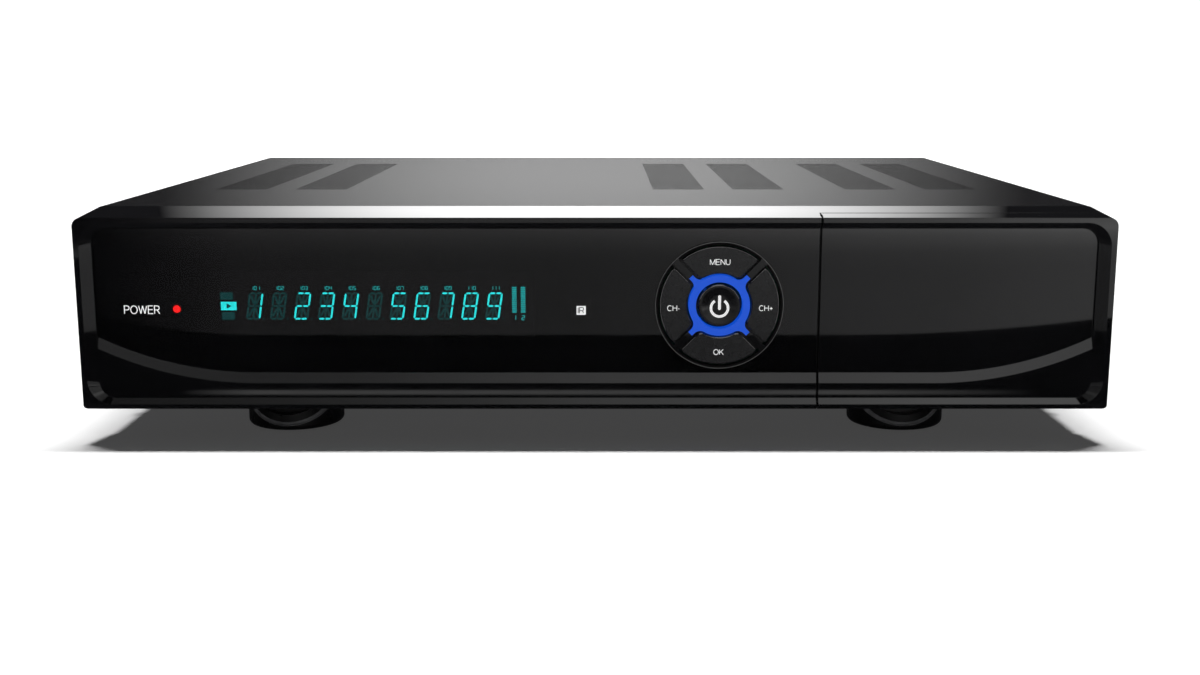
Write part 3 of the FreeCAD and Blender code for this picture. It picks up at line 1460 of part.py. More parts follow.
def hdmi_socket():
    socket = new_body("hdmi_socket")
    pad(socket, "XZ", "rear_y - hdmi_depth", "rear_y",
        centred("hdmi_x", "hdmi_z", "hdmi_width", "hdmi_height"))
    cut(socket, "XZ", "rear_y - hdmi_depth + steel * 2", "rear_y",
        centred("hdmi_x", "hdmi_z", "hdmi_width", "hdmi_height", "-hdmi_wall"))
    pad(socket, "XZ", "rear_y - hdmi_depth + steel * 2", "rear_y - steel",
        centred("hdmi_x", "hdmi_z", "hdmi_width - hdmi_wall * 2 - hdmi_tongue * 2", "hdmi_tongue"))


# Mains inlet and its switch


def mains_inlet():
    inlet = new_body("mains_inlet")
    pad(inlet, "XZ", "panel_inner - inlet_depth", "rear_y",
        centred("inlet_x", "inlet_z", "inlet_width", "inlet_height"))
    pad(inlet, "XZ", "rear_y", "rear_y + steel * 2",
        centred("inlet_x", "inlet_z", "inlet_width", "inlet_height", "steel * 2"))
    chamfer(inlet, "steel", lambda edge: lies_at(edge, y="rear_y + steel * 2"))
    wide = "(inlet_pitch + inlet_mouth) / 2"
    tall = "inlet_mouth / 2"
    cut(inlet, "XZ", "rear_y - inlet_depth / 2", "rear_y + steel * 2",
        rounded(f"inlet_x - {wide}", f"inlet_z - {tall}", f"inlet_x + {wide}",
                f"inlet_z + {tall}", f"({tall} - fit_gap)"))
    pins = ("inlet_x - inlet_pitch / 2", "inlet_x + inlet_pitch / 2")
    pad(inlet, "XZ", "rear_y - inlet_depth / 2", "rear_y - steel",
        *(circle(x, "inlet_z", "inlet_pin") for x in pins))
    pad(inlet, "XZ", "panel_inner - inlet_depth - inlet_depth / 3", "panel_inner - inlet_depth",
        *(centred(x, "inlet_z", "steel", "inlet_height / 3") for x in pins))


def mains_switch():
    """Housing of the rocker, with two round sockets for its pivots."""
    switch = new_body("mains_switch")
    pad(switch, "XZ", "panel_inner - rocker_depth", "rear_y",
        centred("inlet_x", "rocker_z", "switch_width", "switch_tall"))
    pad(switch, "XZ", "rear_y", "rear_y + steel * 1.5",
        centred("inlet_x", "rocker_z", "switch_width", "switch_tall", "steel * 1.5"))
    chamfer(switch, "steel", lambda edge: lies_at(edge, y="rear_y + steel * 1.5"))
    cut(switch, "XZ", "pivot_y - rocker_well", "rear_y + steel * 1.5",
        centred("inlet_x", "rocker_z", "rocker_width", "rocker_height + rocker_room * 2", "rest_gap"))
    reach = "(rocker_width / 2 + pivot_reach + fit_gap)"
    cut(switch, "YZ", f"inlet_x - {reach}", f"inlet_x + {reach}",
        circle("pivot_y", "rocker_z", "inlet_pin + fit_gap"))
    pad(switch, "XZ", "panel_inner - rocker_depth - inlet_depth / 3", "panel_inner - rocker_depth",
        *(centred("inlet_x", f"rocker_z + {i} * rocker_height / 3", "rocker_width / 2", "steel")
          for i in (-1, 0, 1)))


def mains_rocker():
    """Key with a hollow V face, tilted to its off side, that rocks on two short pivots."""
    rocker = new_body("mains_rocker")
    half = "(rocker_height / 2 - key_gap)"
    rise = f"({half} * tan(rocker_tilt))"
    pad(rocker, "YZ", "inlet_x - rocker_width / 2", "inlet_x + rocker_width / 2", outline(
        ("rocker_proud", "0"),
        (f"rocker_proud + {rise}", half),
        ("-rocker_side", half),
        ("-rocker_back", "rocker_heel"),
        ("-rocker_back", "-rocker_heel"),
        ("-rocker_side", f"-{half}"),
        (f"rocker_proud + {rise}", f"-{half}")), corner=("pivot_y", "rocker_z"), turn="rocker_tilt")
    reach = "(rocker_width / 2 + pivot_reach)"
    pad(rocker, "YZ", f"inlet_x - {reach}", f"inlet_x + {reach}",
        circle("pivot_y", "rocker_z", "inlet_pin"))


# Fan on the rear panel


def fan_frame():
    frame = new_body("fan_frame")
    middle = ("fan_x", "fan_z")
    half = "fan_size / 2"
    pad(frame, "XZ", "fan_front", "panel_inner", rectangle(f"-{half}", f"-{half}", half, half),
        circle("0", "0", "fan_bore"), corner=middle)
    fillet(frame, "fan_corner", lambda edge: line_along(edge, "y"))
    cut(frame, "XZ", "fan_front", "panel_inner",
        *(circle(x, z, "screw_radius + fit_gap") for x, z in FAN_SCREWS))
    strut = pad(frame, "XZ", "fan_front", "fan_front + fan_wall",
                rectangle("0", "-fan_wall", "fan_bore + fan_gap / 2", "fan_wall"), corner=middle)
    ring_of(frame, strut, FAN_STRUTS)
    pad(frame, "XZ", "fan_front", "fan_front + fan_wall", circle("0", "0", "fan_hub - rest_gap"),
        corner=middle)
    pad(frame, "XZ", "fan_front", "rotor_rear - fan_wall - fan_gap",
        circle("0", "0", "fan_hub - fan_wall - fan_gap"), corner=middle)
    cut(frame, "XZ", "fan_front", "rotor_rear - fan_wall - fan_gap",
        circle("0", "0", "fan_shaft + fit_gap"), corner=middle)
    screw = pan_screw("fan_screw", "fan_thick")
    same("fan_screws", screw, [(x, "rear_y", z) for x, z in FAN_SCREWS], TO_BACK)


def fan_rotor():
    """A cup that turns round the motor on a shaft, with seven slanted blades."""
    rotor = new_body("fan_rotor")
    middle = ("fan_x", "fan_z")
    hub = pad(rotor, "XZ", "rotor_front", "rotor_rear", circle("0", "0", "fan_hub"), corner=middle)
    cut(rotor, "XZ", "rotor_front", "rotor_rear - fan_wall", circle("0", "0", "fan_hub - fan_wall"),
        corner=middle)
    pad(rotor, "XZ", "fan_front + rest_gap", "rotor_rear - fan_wall", circle("0", "0", "fan_shaft"),
        corner=middle)
    root = sketch(rotor, "YZ", "fan_x + fan_hub - fan_wall / 2", ("0", "fan_z"))
    tip = sketch(rotor, "YZ", "fan_x + fan_bore - fan_gap * 1.5", ("0", "fan_z"))
    for drawing, reach in ((root, "blade_root"), (tip, "blade_tip")):
        outline(("rotor_front + rest_gap", f"-{reach}"), ("rotor_front + fan_wall", f"-{reach}"),
                ("rotor_rear - rest_gap", reach), ("rotor_rear - fan_wall", reach))(drawing)
    blade = loft(rotor, "Additive", root, tip)
    ring_of(rotor, blade, FAN_BLADES, hub)


# Power supply


def power_supply():
    board = new_body("supply_board")
    pad(board, "XY", "deck", "deck_top",
        rectangle("supply_left", "supply_front", "supply_right", "supply_rear"),
        *(circle(x, y, "screw_radius + rest_gap") for x, y in SUPPLY_SCREWS))
    coil = new_body("transformer")
    pad(coil, "XY", "deck_top", "deck_top + transformer_height",
        centred("coil_x", "supply_y", "transformer_width", "core_depth"))
    pad(coil, "XY", "deck_top + coil_margin", "deck_top + transformer_height - coil_margin",
        centred("coil_x", "supply_y", "coil_width", "transformer_depth"))
    fillet(coil, "steel * 2", lambda edge: line_along(edge, "z")
           and abs(edge.BoundBox.Center.y - number("supply_y")) > number("transformer_depth / 2") - 0.1)
    cans = new_body("mains_capacitors")
    for side in ("-", "+"):
        pad(cans, "XY", "deck_top", "deck_top + capacitor_height",
            circle("cans_x", f"supply_y {side} (capacitor_radius + supply_inset / 2)",
                   "capacitor_radius"))
    chamfer(cans, "steel", lambda edge: lies_at(edge, z="deck_top + capacitor_height"))
    sink = new_body("supply_sink")
    reach = f"((sink_pitch * {SINK_GAPS} + sink_fin) / 2)"
    pad(sink, "XY", "deck_top", "deck_top + supply_sink_height",
        rectangle("fins_x - sink_fin * 2", f"supply_y - {reach}", "fins_x + sink_pitch",
                  f"supply_y + {reach}"))
    gap = cut(sink, "XY", "deck_top", "deck_top + supply_sink_height",
              rectangle("fins_x", f"supply_y - {reach} + sink_fin", "fins_x + sink_pitch",
                        f"supply_y - {reach} + sink_pitch"))
    row(sink, gap, "V", "sink_pitch", SINK_GAPS)


# Disk


def hard_disk():
    disk = new_body("hard_disk")
    pad(disk, "XY", "disk_base", "disk_top",
        rectangle("disk_left", "disk_front", "disk_right", "disk_rear"))
    fillet(disk, "standoff_radius", lambda edge: line_along(edge, "z"))
    cut(disk, "XY", "disk_top - steel", "disk_top",
        centred("disk_left + disk_width / 2", "(disk_front + disk_rear) / 2", "disk_width",
                "disk_length", "-disk_rim"))
    cut(disk, "YZ", "disk_left", "disk_right",
        *(circle(y, "disk_hole_z", "screw_radius + fit_gap") for y in DISK_SCREWS_Y))


def disk_cradle():
    cradle = new_body("disk_cradle")
    inner, outer = "rest_gap", "rest_gap + cradle_steel"
    pad(cradle, "XZ", "disk_front", "disk_rear", outline(
        (f"disk_left - ({outer})", "tray_top"),
        (f"disk_left - {inner}", "tray_top"),
        (f"disk_left - {inner}", "disk_base - cradle_steel"),
        (f"disk_right + {inner}", "disk_base - cradle_steel"),
        (f"disk_right + {inner}", "tray_top"),
        (f"disk_right + {outer}", "tray_top"),
        (f"disk_right + {outer}", "disk_base + cradle_wall"),
        (f"disk_right + {inner}", "disk_base + cradle_wall"),
        (f"disk_right + {inner}", "disk_base"),
        (f"disk_left - {inner}", "disk_base"),
        (f"disk_left - {inner}", "disk_base + cradle_wall"),
        (f"disk_left - ({outer})", "disk_base + cradle_wall")))
    slot = cut(cradle, "XY", "disk_base - cradle_steel", "disk_base",
               centred("disk_left + disk_width / 2", "disk_front + cradle_inset",
                       "disk_width - cradle_inset * 2", "vent_slot * 2"))
    row(cradle, slot, "V", f"(disk_length - cradle_inset * 2) / {CRADLE_SLOTS - 1}", CRADLE_SLOTS)
    cut(cradle, "YZ", f"disk_left - ({outer})", f"disk_right + {outer}",
        *(circle(y, "disk_hole_z", "screw_radius + rest_gap") for y in DISK_SCREWS_Y))
    screw = pan_screw("disk_screw", "screw_length")
    spots = [(x, y, "disk_hole_z")
             for x in (f"disk_left - ({outer})", f"disk_right + {outer}") for y in DISK_SCREWS_Y]
    group("disk_screws", screw, spots, [TO_LEFT] * 2 + [TO_RIGHT] * 2)


# The receiver, from the outside in

write_sizes()

feet()
chassis_tray()
rear_panel()
top_cover()
cover_screws()
front_bezel()
front_window()
door()
door_fittings()
card_bay()
ci_cage()
smartcard_reader()
usb_front()
pad_frame()
light_ring()
for key_name, key_turn in (("key_up", 0), ("key_left", 90), ("key_down", 180), ("key_right", 270)):
    sector_key(key_name, key_turn)
power_key()
tact_switches()
front_board()
display_tube()
lamp_and_eye()
main_board()
standoffs()
processor_sink()
ribbon_cable()
tuner("tuner_lower", "deck_top")
tuner("tuner_upper", "deck_top + tuner_rise")
tuner_bracket()
aerial_nuts()
phono_block()
scart_block()
serial_socket()
lan_socket()
hdmi_socket()
mains_inlet()
mains_switch()
mains_rocker()
fan_frame()
fan_rotor()
power_supply()
hard_disk()
disk_cradle()

DOC.recompute()

# Every object has to be sound before anything is written.
faults = [f"{thing.Label}: {state}" for thing in DOC.Objects for state in thing.State
          if state in ("Invalid", "Error")]
for thing in DOC.Objects:
    if not hasattr(thing, "Shape") or thing.TypeId in ("App::Link", "App::Plane", "App::Line", "App::Point"):
        continue
    if thing.Shape.isNull() or not (thing.Shape.isValid() or thing.TypeId.startswith("Sketcher")):
        faults.append(f"{thing.Label}: no valid shape")
    if thing.TypeId == "PartDesign::Pocket":
        before = thing.getBaseObject()
        if before and thing.Shape.Volume > before.Shape.Volume - 1e-3:
            faults.append(f"{thing.Label}: takes nothing away")
if faults:
    raise RuntimeError("; ".join(faults))

os.makedirs("parts", exist_ok=True)
for node in NODES:
    node.Shape.exportStep(f"parts/{node.Label}.step")
print(len(NODES), "nodes")
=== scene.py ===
import math
from itertools import product

import bmesh
import bpy
import numpy as np
from bpy.props import FloatProperty, FloatVectorProperty, IntProperty, PointerProperty, StringProperty
from bpy.types import Operator, Panel, PropertyGroup
from mathutils import Matrix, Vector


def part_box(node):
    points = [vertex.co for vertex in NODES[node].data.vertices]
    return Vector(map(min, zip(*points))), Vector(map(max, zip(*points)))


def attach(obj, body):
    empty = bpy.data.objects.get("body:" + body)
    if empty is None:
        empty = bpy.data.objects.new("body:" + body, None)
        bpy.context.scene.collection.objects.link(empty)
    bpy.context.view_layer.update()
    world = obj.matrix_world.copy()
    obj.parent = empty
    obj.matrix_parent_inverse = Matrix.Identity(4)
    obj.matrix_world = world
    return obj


bl_info = {
    "name": "Satellite receiver finish",
    "version": (1, 0, 0),
    "blender": (4, 5, 0),
    "location": "3D View > Sidebar > Receiver",
    "description": "Dresses the receiver's frame with its finishes, marks, display and studio",
    "category": "Object",
}

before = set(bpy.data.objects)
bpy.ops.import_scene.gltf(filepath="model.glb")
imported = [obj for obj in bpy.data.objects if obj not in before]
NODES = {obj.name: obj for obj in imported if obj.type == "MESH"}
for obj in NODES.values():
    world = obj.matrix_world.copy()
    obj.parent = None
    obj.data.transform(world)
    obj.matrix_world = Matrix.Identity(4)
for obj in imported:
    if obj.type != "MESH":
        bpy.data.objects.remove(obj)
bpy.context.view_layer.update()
MM = 0.001

# Where copies of one form stand round the middle of their node, in millimetres.
COVER_SCREWS = {"ys": (-95.35, 0, 95.35)}
FAN_SCREWS = {"xs": (-16, 16), "zs": (-16, 16)}
FEET = {"xs": (-105.5, 105.5), "ys": (-102.35, 102.35)}
AERIALS = {"xs": (-10, 10), "zs": (-12, 12)}
PHONO = {"xs": (12.7, 0, -12.7), "zs": (7.495, -7.495)}
FOOT_RADIUS = 16.5 * MM

# Directions across and up of a plane that faces a way.
FRONT, BACK = ((1, 0, 0), (0, 0, 1)), ((-1, 0, 0), (0, 0, 1))
LEFT, RIGHT, DOWN = ((0, -1, 0), (0, 0, 1)), ((0, 1, 0), (0, 0, 1)), ((1, 0, 0), (0, -1, 0))


# Places read from the frame


def middle(node):
    """Centre of a node's box."""
    low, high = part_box(node)
    return np.array((low + high) / 2)


def front_of(node):
    """The y of a node's foremost point."""
    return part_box(node)[0].y


def about(node, xs=(0,), ys=(0,), zs=(0,)):
    """Points round the middle of a node, at every combination of offsets in millimetres."""
    return middle(node) + np.array(list(product(xs, ys, zs))) * MM


# Sizes and colours that a user would change


class CoverSettings(PropertyGroup):
    colour: FloatVectorProperty(
        name="Cover colour", description="Colour of the powder coat", subtype="COLOR",
        min=0, max=1, default=(0.004, 0.004, 0.0045))
    roughness: FloatProperty(
        name="Cover roughness", description="Roughness of the powder coat", subtype="FACTOR",
        min=0, max=1, default=0.19)


class FrontSettings(PropertyGroup):
    colour: FloatVectorProperty(
        name="Front colour", description="Colour of the gloss mouldings", subtype="COLOR",
        min=0, max=1, default=(0.0035, 0.0035, 0.004))
    edge: FloatProperty(
        name="Edge radius", description="Rounding of the mouldings' sharp edges", unit="LENGTH",
        default=0.22 * MM)
    window_alpha: FloatProperty(
        name="Window density", description="Share of light that the smoked window stops",
        subtype="FACTOR", min=0, max=1, default=0.8)


class PadSettings(PropertyGroup):
    ring_colour: FloatVectorProperty(
        name="Ring colour", description="Colour of the light ring", subtype="COLOR",
        min=0, max=1, default=(0.004, 0.072, 0.57))
    ring_glow: FloatProperty(
        name="Ring glow", description="Strength of the light ring", min=0, default=0.95)
    mark_colour: FloatVectorProperty(
        name="Mark colour", description="Colour of the printed words and signs", subtype="COLOR",
        min=0, max=1, default=(0.8, 0.8, 0.8))
    word_height: FloatProperty(
        name="Word height", description="Height of the capitals on the keys", unit="LENGTH",
        default=1.75 * MM)


class DisplaySettings(PropertyGroup):
    text: StringProperty(
        name="Text", description="Figures that the display shows, one for each place",
        default="1 234 56789")
    places: IntProperty(name="Places", description="Number of characters", min=1, default=11)
    pitch: FloatProperty(
        name="Pitch", description="Distance between characters", unit="LENGTH", default=7.915 * MM)
    height: FloatProperty(
        name="Height", description="Height of a character", unit="LENGTH", default=9.15 * MM)
    width: FloatProperty(
        name="Width", description="Width of a character", unit="LENGTH", default=4.75 * MM)
    slant: FloatProperty(
        name="Slant", description="Lean of the characters", subtype="ANGLE",
        default=math.radians(8.9))
    colour: FloatVectorProperty(
        name="Lit colour", description="Colour of a lit segment", subtype="COLOR",
        min=0, max=1, default=(0.02, 0.78, 0.78))
    glow: FloatProperty(
        name="Glow", description="Strength of a lit segment behind the window", min=0, default=26)
    ghost: FloatProperty(
        name="Ghost", description="Share of the glow that an unlit segment keeps", subtype="FACTOR",
        min=0, max=1, default=0.045)


class StageSettings(PropertyGroup):
    camera_place: FloatVectorProperty(
        name="Camera place", description="Where the camera stands", subtype="TRANSLATION",
        unit="LENGTH", default=(0.0016, -0.6071, 0.1248))
    camera_pitch: FloatProperty(
        name="Camera pitch", description="How far the camera looks down", subtype="ANGLE",
        default=math.radians(10.72))
    camera_lens: FloatProperty(
        name="Lens", description="Focal length in millimetres on a 36 mm sensor", default=43.5)
    floor_colour: FloatVectorProperty(
        name="Floor colour", description="Colour of the floor", subtype="COLOR",
        min=0, max=1, default=(0.9, 0.9, 0.9))
    lamp_power: FloatProperty(
        name="Lamp power", description="Watts of the long soft lamp overhead", min=0, default=520)


def settings():
    return bpy.context.scene.receiver_settings


class ReceiverSettings(PropertyGroup):
    cover: PointerProperty(type=CoverSettings)
    front: PointerProperty(type=FrontSettings)
    pad: PointerProperty(type=PadSettings)
    display: PointerProperty(type=DisplaySettings)
    stage: PointerProperty(type=StageSettings)


# Making pieces


def piece_from(name, mesh, material, body="receiver"):
    """Shows a mesh as a piece that rides on a body."""
    piece = bpy.data.objects.new(name, mesh)
    bpy.context.scene.collection.objects.link(piece)
    if material is not None:
        mesh.materials.clear()
        mesh.materials.append(material)
    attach(piece, body)
    return piece


def mesh_of(name, points, faces, smooth=False):
    mesh = bpy.data.meshes.new(name)
    mesh.from_pydata(points.reshape(-1, 3).tolist(), [], faces.tolist())
    mesh.validate()
    if smooth:
        mesh.shade_smooth()
    return mesh


def stood(flat, place, faces=FRONT):
    """Lays flat points (across, up) on the plane that faces a way at a place."""
    across, up = np.array(faces, float)
    return np.asarray(place, float) + flat[..., :1] * across + flat[..., 1:] * up


def grid_faces(rows, columns, wrap_rows=False, wrap_columns=False):
    """Quads between neighbours of a grid of points, joined round where a direction is closed."""
    row = np.arange(rows if wrap_rows else rows - 1)[:, None]
    column = np.arange(columns if wrap_columns else columns - 1)[None, :]
    next_row, next_column = (row + 1) % rows, (column + 1) % columns
    corners = ((row, column), (row, next_column), (next_row, next_column), (next_row, column))
    return np.stack([i * columns + j for i, j in corners], axis=-1).reshape(-1, 4)


def grid_mesh(name, points, wrap_rows=False, wrap_columns=False, smooth=True, flip=False):
    """Mesh of copies of a grid: points has the shape (copies, rows, columns, 3)."""
    copies, rows, columns, _ = points.shape
    faces = grid_faces(rows, columns, wrap_rows, wrap_columns)
    if flip:
        faces = faces[:, ::-1]
    faces = (faces[None] + (np.arange(copies) * rows * columns)[:, None, None]).reshape(-1, 4)
    return joined(mesh_of(name, points, faces, smooth))


def joined(mesh):
    """Merges doubles, which also closes seams and poles."""
    shape = bmesh.new()
    shape.from_mesh(mesh)
    bmesh.ops.remove_doubles(shape, verts=shape.verts, dist=1e-7)
    shape.to_mesh(mesh)
    shape.free()
    return mesh


def paint(material, *nodes):
    """Gives CAD nodes a finish without touching their meshes."""
    for node in nodes:
        NODES[node].data.materials.clear()
        NODES[node].data.materials.append(material)


def arc(centre, reach, start, stop, steps=11):
    """Points on an ellipse from one angle to another, in degrees from the right, turning left."""
    turn = np.radians(np.linspace(start, stop, steps))
    return list(zip(centre[0] + reach[0] * np.cos(turn), centre[1] + reach[1] * np.sin(turn)))


# Each letter's width and strokes, as shares of the capital's height.
BOWL = [(0, 0), (0, 1), *arc((0.34, 0.74), (0.28, 0.26), 90, -90), (0, 0.48)]
LETTERS = {
    "C": (0.76, [arc((0.4, 0.5), (0.4, 0.5), 48, 312, 19)]),
    "E": (0.6, [[(0.6, 1), (0, 1), (0, 0), (0.62, 0)], [(0, 0.52), (0.56, 0.52)]]),
    "H": (0.7, [[(0, 0), (0, 1)], [(0.7, 0), (0.7, 1)], [(0, 0.53), (0.7, 0.53)]]),
    "I": (0.0, [[(0, 0), (0, 1)]]),
    "K": (0.68, [[(0, 0), (0, 1)], [(0.64, 1), (0, 0.36)], [(0.22, 0.58), (0.68, 0)]]),
    "M": (0.82, [[(0, 0), (0, 1)], [(0, 1), (0.41, 0)], [(0.41, 0), (0.82, 1)], [(0.82, 1), (0.82, 0)]]),
    "N": (0.7, [[(0, 0), (0, 1)], [(0, 1), (0.7, 0)], [(0.7, 0), (0.7, 1)]]),
    "O": (0.84, [arc((0.42, 0.5), (0.42, 0.5), 0, 360, 33)]),
    "P": (0.62, [BOWL]),
    "R": (0.66, [BOWL, [(0.34, 0.48), (0.64, 0)]]),
    "U": (0.68, [[(0, 1), *arc((0.34, 0.34), (0.34, 0.34), 180, 360, 15), (0.68, 1)]]),
    "W": (1.04, [[(0, 1), (0.26, 0)], [(0.26, 0), (0.52, 1)], [(0.52, 1), (0.78, 0)],
                 [(0.78, 0), (1.04, 1)]]),
    "-": (0.3, [[(0, 0.38), (0.3, 0.38)]]),
    "+": (0.56, [[(0, 0.45), (0.56, 0.45)], [(0.28, 0.17), (0.28, 0.73)]]),
}


def ribbon(line, half):
    """A flat band along a line of points: each point moved to both sides by the half width over the
    cosine of half the bend, along the normal of the mean of the runs before and after it."""
    line = np.asarray(line, float)
    run = np.diff(line, axis=0)
    run /= np.linalg.norm(run, axis=1, keepdims=True)
    before, after = np.vstack([run[:1], run]), np.vstack([run, run[-1:]])
    mean = before + after
    mean /= np.linalg.norm(mean, axis=1, keepdims=True)
    wide = half / np.clip((mean * after).sum(axis=1, keepdims=True), 0.6, 1)
    side = np.stack([-mean[:, 1], mean[:, 0]], axis=1) * wide
    return np.stack([line + side, line - side], axis=1)


def lettering(text, height, width, half):
    """Bands of a line of capitals about its own middle, spaced evenly and drawn to a width."""
    bands, pen, space = [], 0.0, 0.2
    for letter in text:
        room, strokes = LETTERS[letter]
        bands += [np.asarray(stroke, float) + (pen, 0) for stroke in strokes]
        pen += room + space
    total = pen - space
    return [ribbon((band - (total / 2, 0.5)) * (width / total, height), half) for band in bands]


def flat_mesh(name, bands, *places, faces=FRONT):
    """One mesh of flat grids (across, up) laid at each place, every face turned the way given."""
    outward = np.cross(*faces)
    points, quads, count = [], [], 0
    for place in places:
        for band in bands:
            grid = stood(band, place, faces).reshape(-1, 3)
            part = grid_faces(*band.shape[:2])
            corners = grid[part]
            turned = np.cross(corners[:, 1] - corners[:, 0], corners[:, 3] - corners[:, 0]) @ outward < 0
            part[turned] = part[turned][:, ::-1]
            points.append(grid)
            quads.append(part + count)
            count += len(grid)
    return mesh_of(name, np.concatenate(points), np.concatenate(quads))


def turned_about(axis_x, axis_z, turn, radius, y):
    """Points at an angle and a radius about an axis along y."""
    turn, radius, y = np.broadcast_arrays(turn, radius, y)
    return np.stack([axis_x + np.cos(turn) * radius, y, axis_z + np.sin(turn) * radius], axis=-1)


def words(name, text, height, place, material, body="receiver", width=None, half=None):
    """Printed capitals that face the front with their middle at a place."""
    half = half or height * 0.062
    return piece_from(name, flat_mesh(name, lettering(text, height, width, half), place), material, body)


def project(piece, targets, back=True):
    """Drops a flat piece along y onto the nearer of two CAD nodes, and keeps it just off them."""
    drop = piece.modifiers.new("drop", "SHRINKWRAP")
    drop.wrap_method = "PROJECT"
    drop.target, drop.auxiliary_target = (NODES[node] for node in targets)
    drop.use_project_y = True
    drop.use_positive_direction, drop.use_negative_direction = back, not back
    drop.offset = 0.03 * MM


def small_number(name, text, height, place, material):
    """Lit figures of seven straight strokes, drawn with the display's own segments."""
    bands = []
    for k, figure in enumerate(text):
        strokes = np.array([SEGMENTS[segment] for segment in FIGURES[figure]])
        shift = (k - (len(text) - 1) / 2) * 0.85 * height
        strokes = (strokes - 0.5) * (height * 0.55, height * 0.9)
        bands += list(bars(strokes[:, 0], strokes[:, 1], height * 0.07, 0.0, tip=False) + (shift, 0))
    return piece_from(name, flat_mesh(name, bands, place), material)


def bars(starts, ends, half, slant=0.0, tip=True):
    """Flat bars from one point to another, as grids of 4 by 2 points: along the bar at 0, h, L - h
    and L, and across it at plus and minus h, with both ends drawn to a point."""
    starts, ends = np.asarray(starts, float), np.asarray(ends, float)
    along = ends - starts
    length = np.linalg.norm(along, axis=1, keepdims=True)
    unit = along / length
    side = np.stack([-unit[:, 1], unit[:, 0]], axis=1)
    reach = np.array([0, half, 0, 0]) + np.array([0, 0, -half, 0]) + np.array([0, 0, 1, 1]) * length
    wide = half * (np.array([0, 1, 1, 0]) if tip else np.ones(4))
    flat = (starts[:, None, None] + unit[:, None, None] * reach[:, :, None, None]
            + side[:, None, None] * wide[None, :, None, None] * np.array([1, -1])[None, None, :, None])
    flat[..., 0] += flat[..., 1] * math.tan(slant)
    return flat


# Finishes


class Finish:
    """A Principled finish built node by node. Patterns read Object coordinates in metres."""

    def __init__(self, name, colour, roughness, metallic=0.0, **sockets):
        self.material = bpy.data.materials.new(name)
        self.material.use_nodes = True
        self.tree = self.material.node_tree
        self.shader = self.tree.nodes["Principled BSDF"]
        self.colour = (*colour, 1.0)
        self.set("Base Color", self.colour)
        self.set("Roughness", roughness)
        self.set("Metallic", metallic)
        for socket, value in sockets.items():
            self.set(socket.replace("_", " "), value)
        self.roughness = roughness
        self.coordinates = self.tree.nodes.new("ShaderNodeTexCoord").outputs["Object"]

    def set(self, socket, value):
        self.shader.inputs[socket].default_value = value

    def node(self, kind, **values):
        made = self.tree.nodes.new("ShaderNode" + kind)
        for key, value in values.items():
            if key in made.inputs:
                made.inputs[key].default_value = value
            else:
                setattr(made, key, value)
        return made

    def link(self, source, target):
        self.tree.links.new(source, target)

    def stretched(self, scale):
        mapping = self.node("Mapping")
        mapping.inputs["Scale"].default_value = scale
        self.link(self.coordinates, mapping.inputs["Vector"])
        return mapping.outputs["Vector"]

    def noise(self, size, detail=3.0, stretch=(1, 1, 1)):
        """Noise whose features are about as large as size, in metres."""
        noise = self.node("TexNoise", Scale=1 / size, Detail=detail)
        self.link(self.stretched(stretch), noise.inputs["Vector"])
        return noise.outputs["Fac"]

    def remap(self, source, low, high, start=0.3, stop=0.7):
        ranged = self.node("MapRange")
        for socket, value in (("From Min", start), ("From Max", stop), ("To Min", low), ("To Max", high)):
            ranged.inputs[socket].default_value = value
        self.link(source, ranged.inputs["Value"])
        return ranged.outputs["Result"]

    def tint(self, mask, other, socket="Base Color"):
        """Mixes the colour with another one by a mask."""
        mix = self.node("Mix", data_type="RGBA")
        mix.inputs[6].default_value, mix.inputs[7].default_value = self.colour, (*other, 1.0)
        self.link(mask, mix.inputs[0])
        self.link(mix.outputs[2], self.shader.inputs[socket])
        return self

    def uneven(self, size, spread, stretch=(1, 1, 1)):
        """Roughness that wanders by a spread."""
        self.link(self.remap(self.noise(size, 4.0, stretch), self.roughness - spread,
                             self.roughness + spread), self.shader.inputs["Roughness"])
        return self

    def rounded(self, radius):
        """Sharp edges catch light as if they had this radius."""
        bevel = self.node("Bevel", samples=4, Radius=radius)
        self.link(bevel.outputs["Normal"], self.shader.inputs["Normal"])
        return self

    def bumpy(self, height, depth, strength=0.4):
        bump = self.node("Bump", Strength=strength, Distance=depth)
        self.link(height, bump.inputs["Height"])
        for link in self.shader.inputs["Normal"].links:
            self.link(link.from_socket, bump.inputs["Normal"])
        self.link(bump.outputs["Normal"], self.shader.inputs["Normal"])
        return self


def scaled(colour, factor):
    return tuple(min(c * factor, 1.0) for c in colour)


def powder_coat():
    """Satin powder coat: a fine orange peel and slightly wandering gloss."""
    look = settings().cover
    finish = Finish("powder coat black", look.colour, look.roughness, IOR=1.55)
    finish.tint(finish.remap(finish.noise(0.0009), 0, 1), scaled(look.colour, 1.8))
    finish.uneven(0.0006, 0.03).rounded(0.3 * MM)
    return finish.bumpy(finish.noise(0.0004, 1.0), 0.000008, 0.12).material


def gloss_moulding(name, colour):
    """Polished black moulding: deep gloss with a trace of flow and handling marks."""
    finish = Finish(name, colour, 0.02, IOR=1.5)
    finish.tint(finish.remap(finish.noise(0.03), 0, 1), scaled(colour, 1.5))
    return finish.uneven(0.012, 0.004).rounded(settings().front.edge).material


def smoked_window():
    """Smoked acrylic that lets a fifth of the light through."""
    look = settings().front
    finish = Finish("smoked acrylic", look.colour, 0.02, IOR=1.58, Alpha=look.window_alpha)
    finish.tint(finish.remap(finish.noise(0.03), 0, 1), scaled(look.colour, 1.5))
    return finish.uneven(0.015, 0.004).material


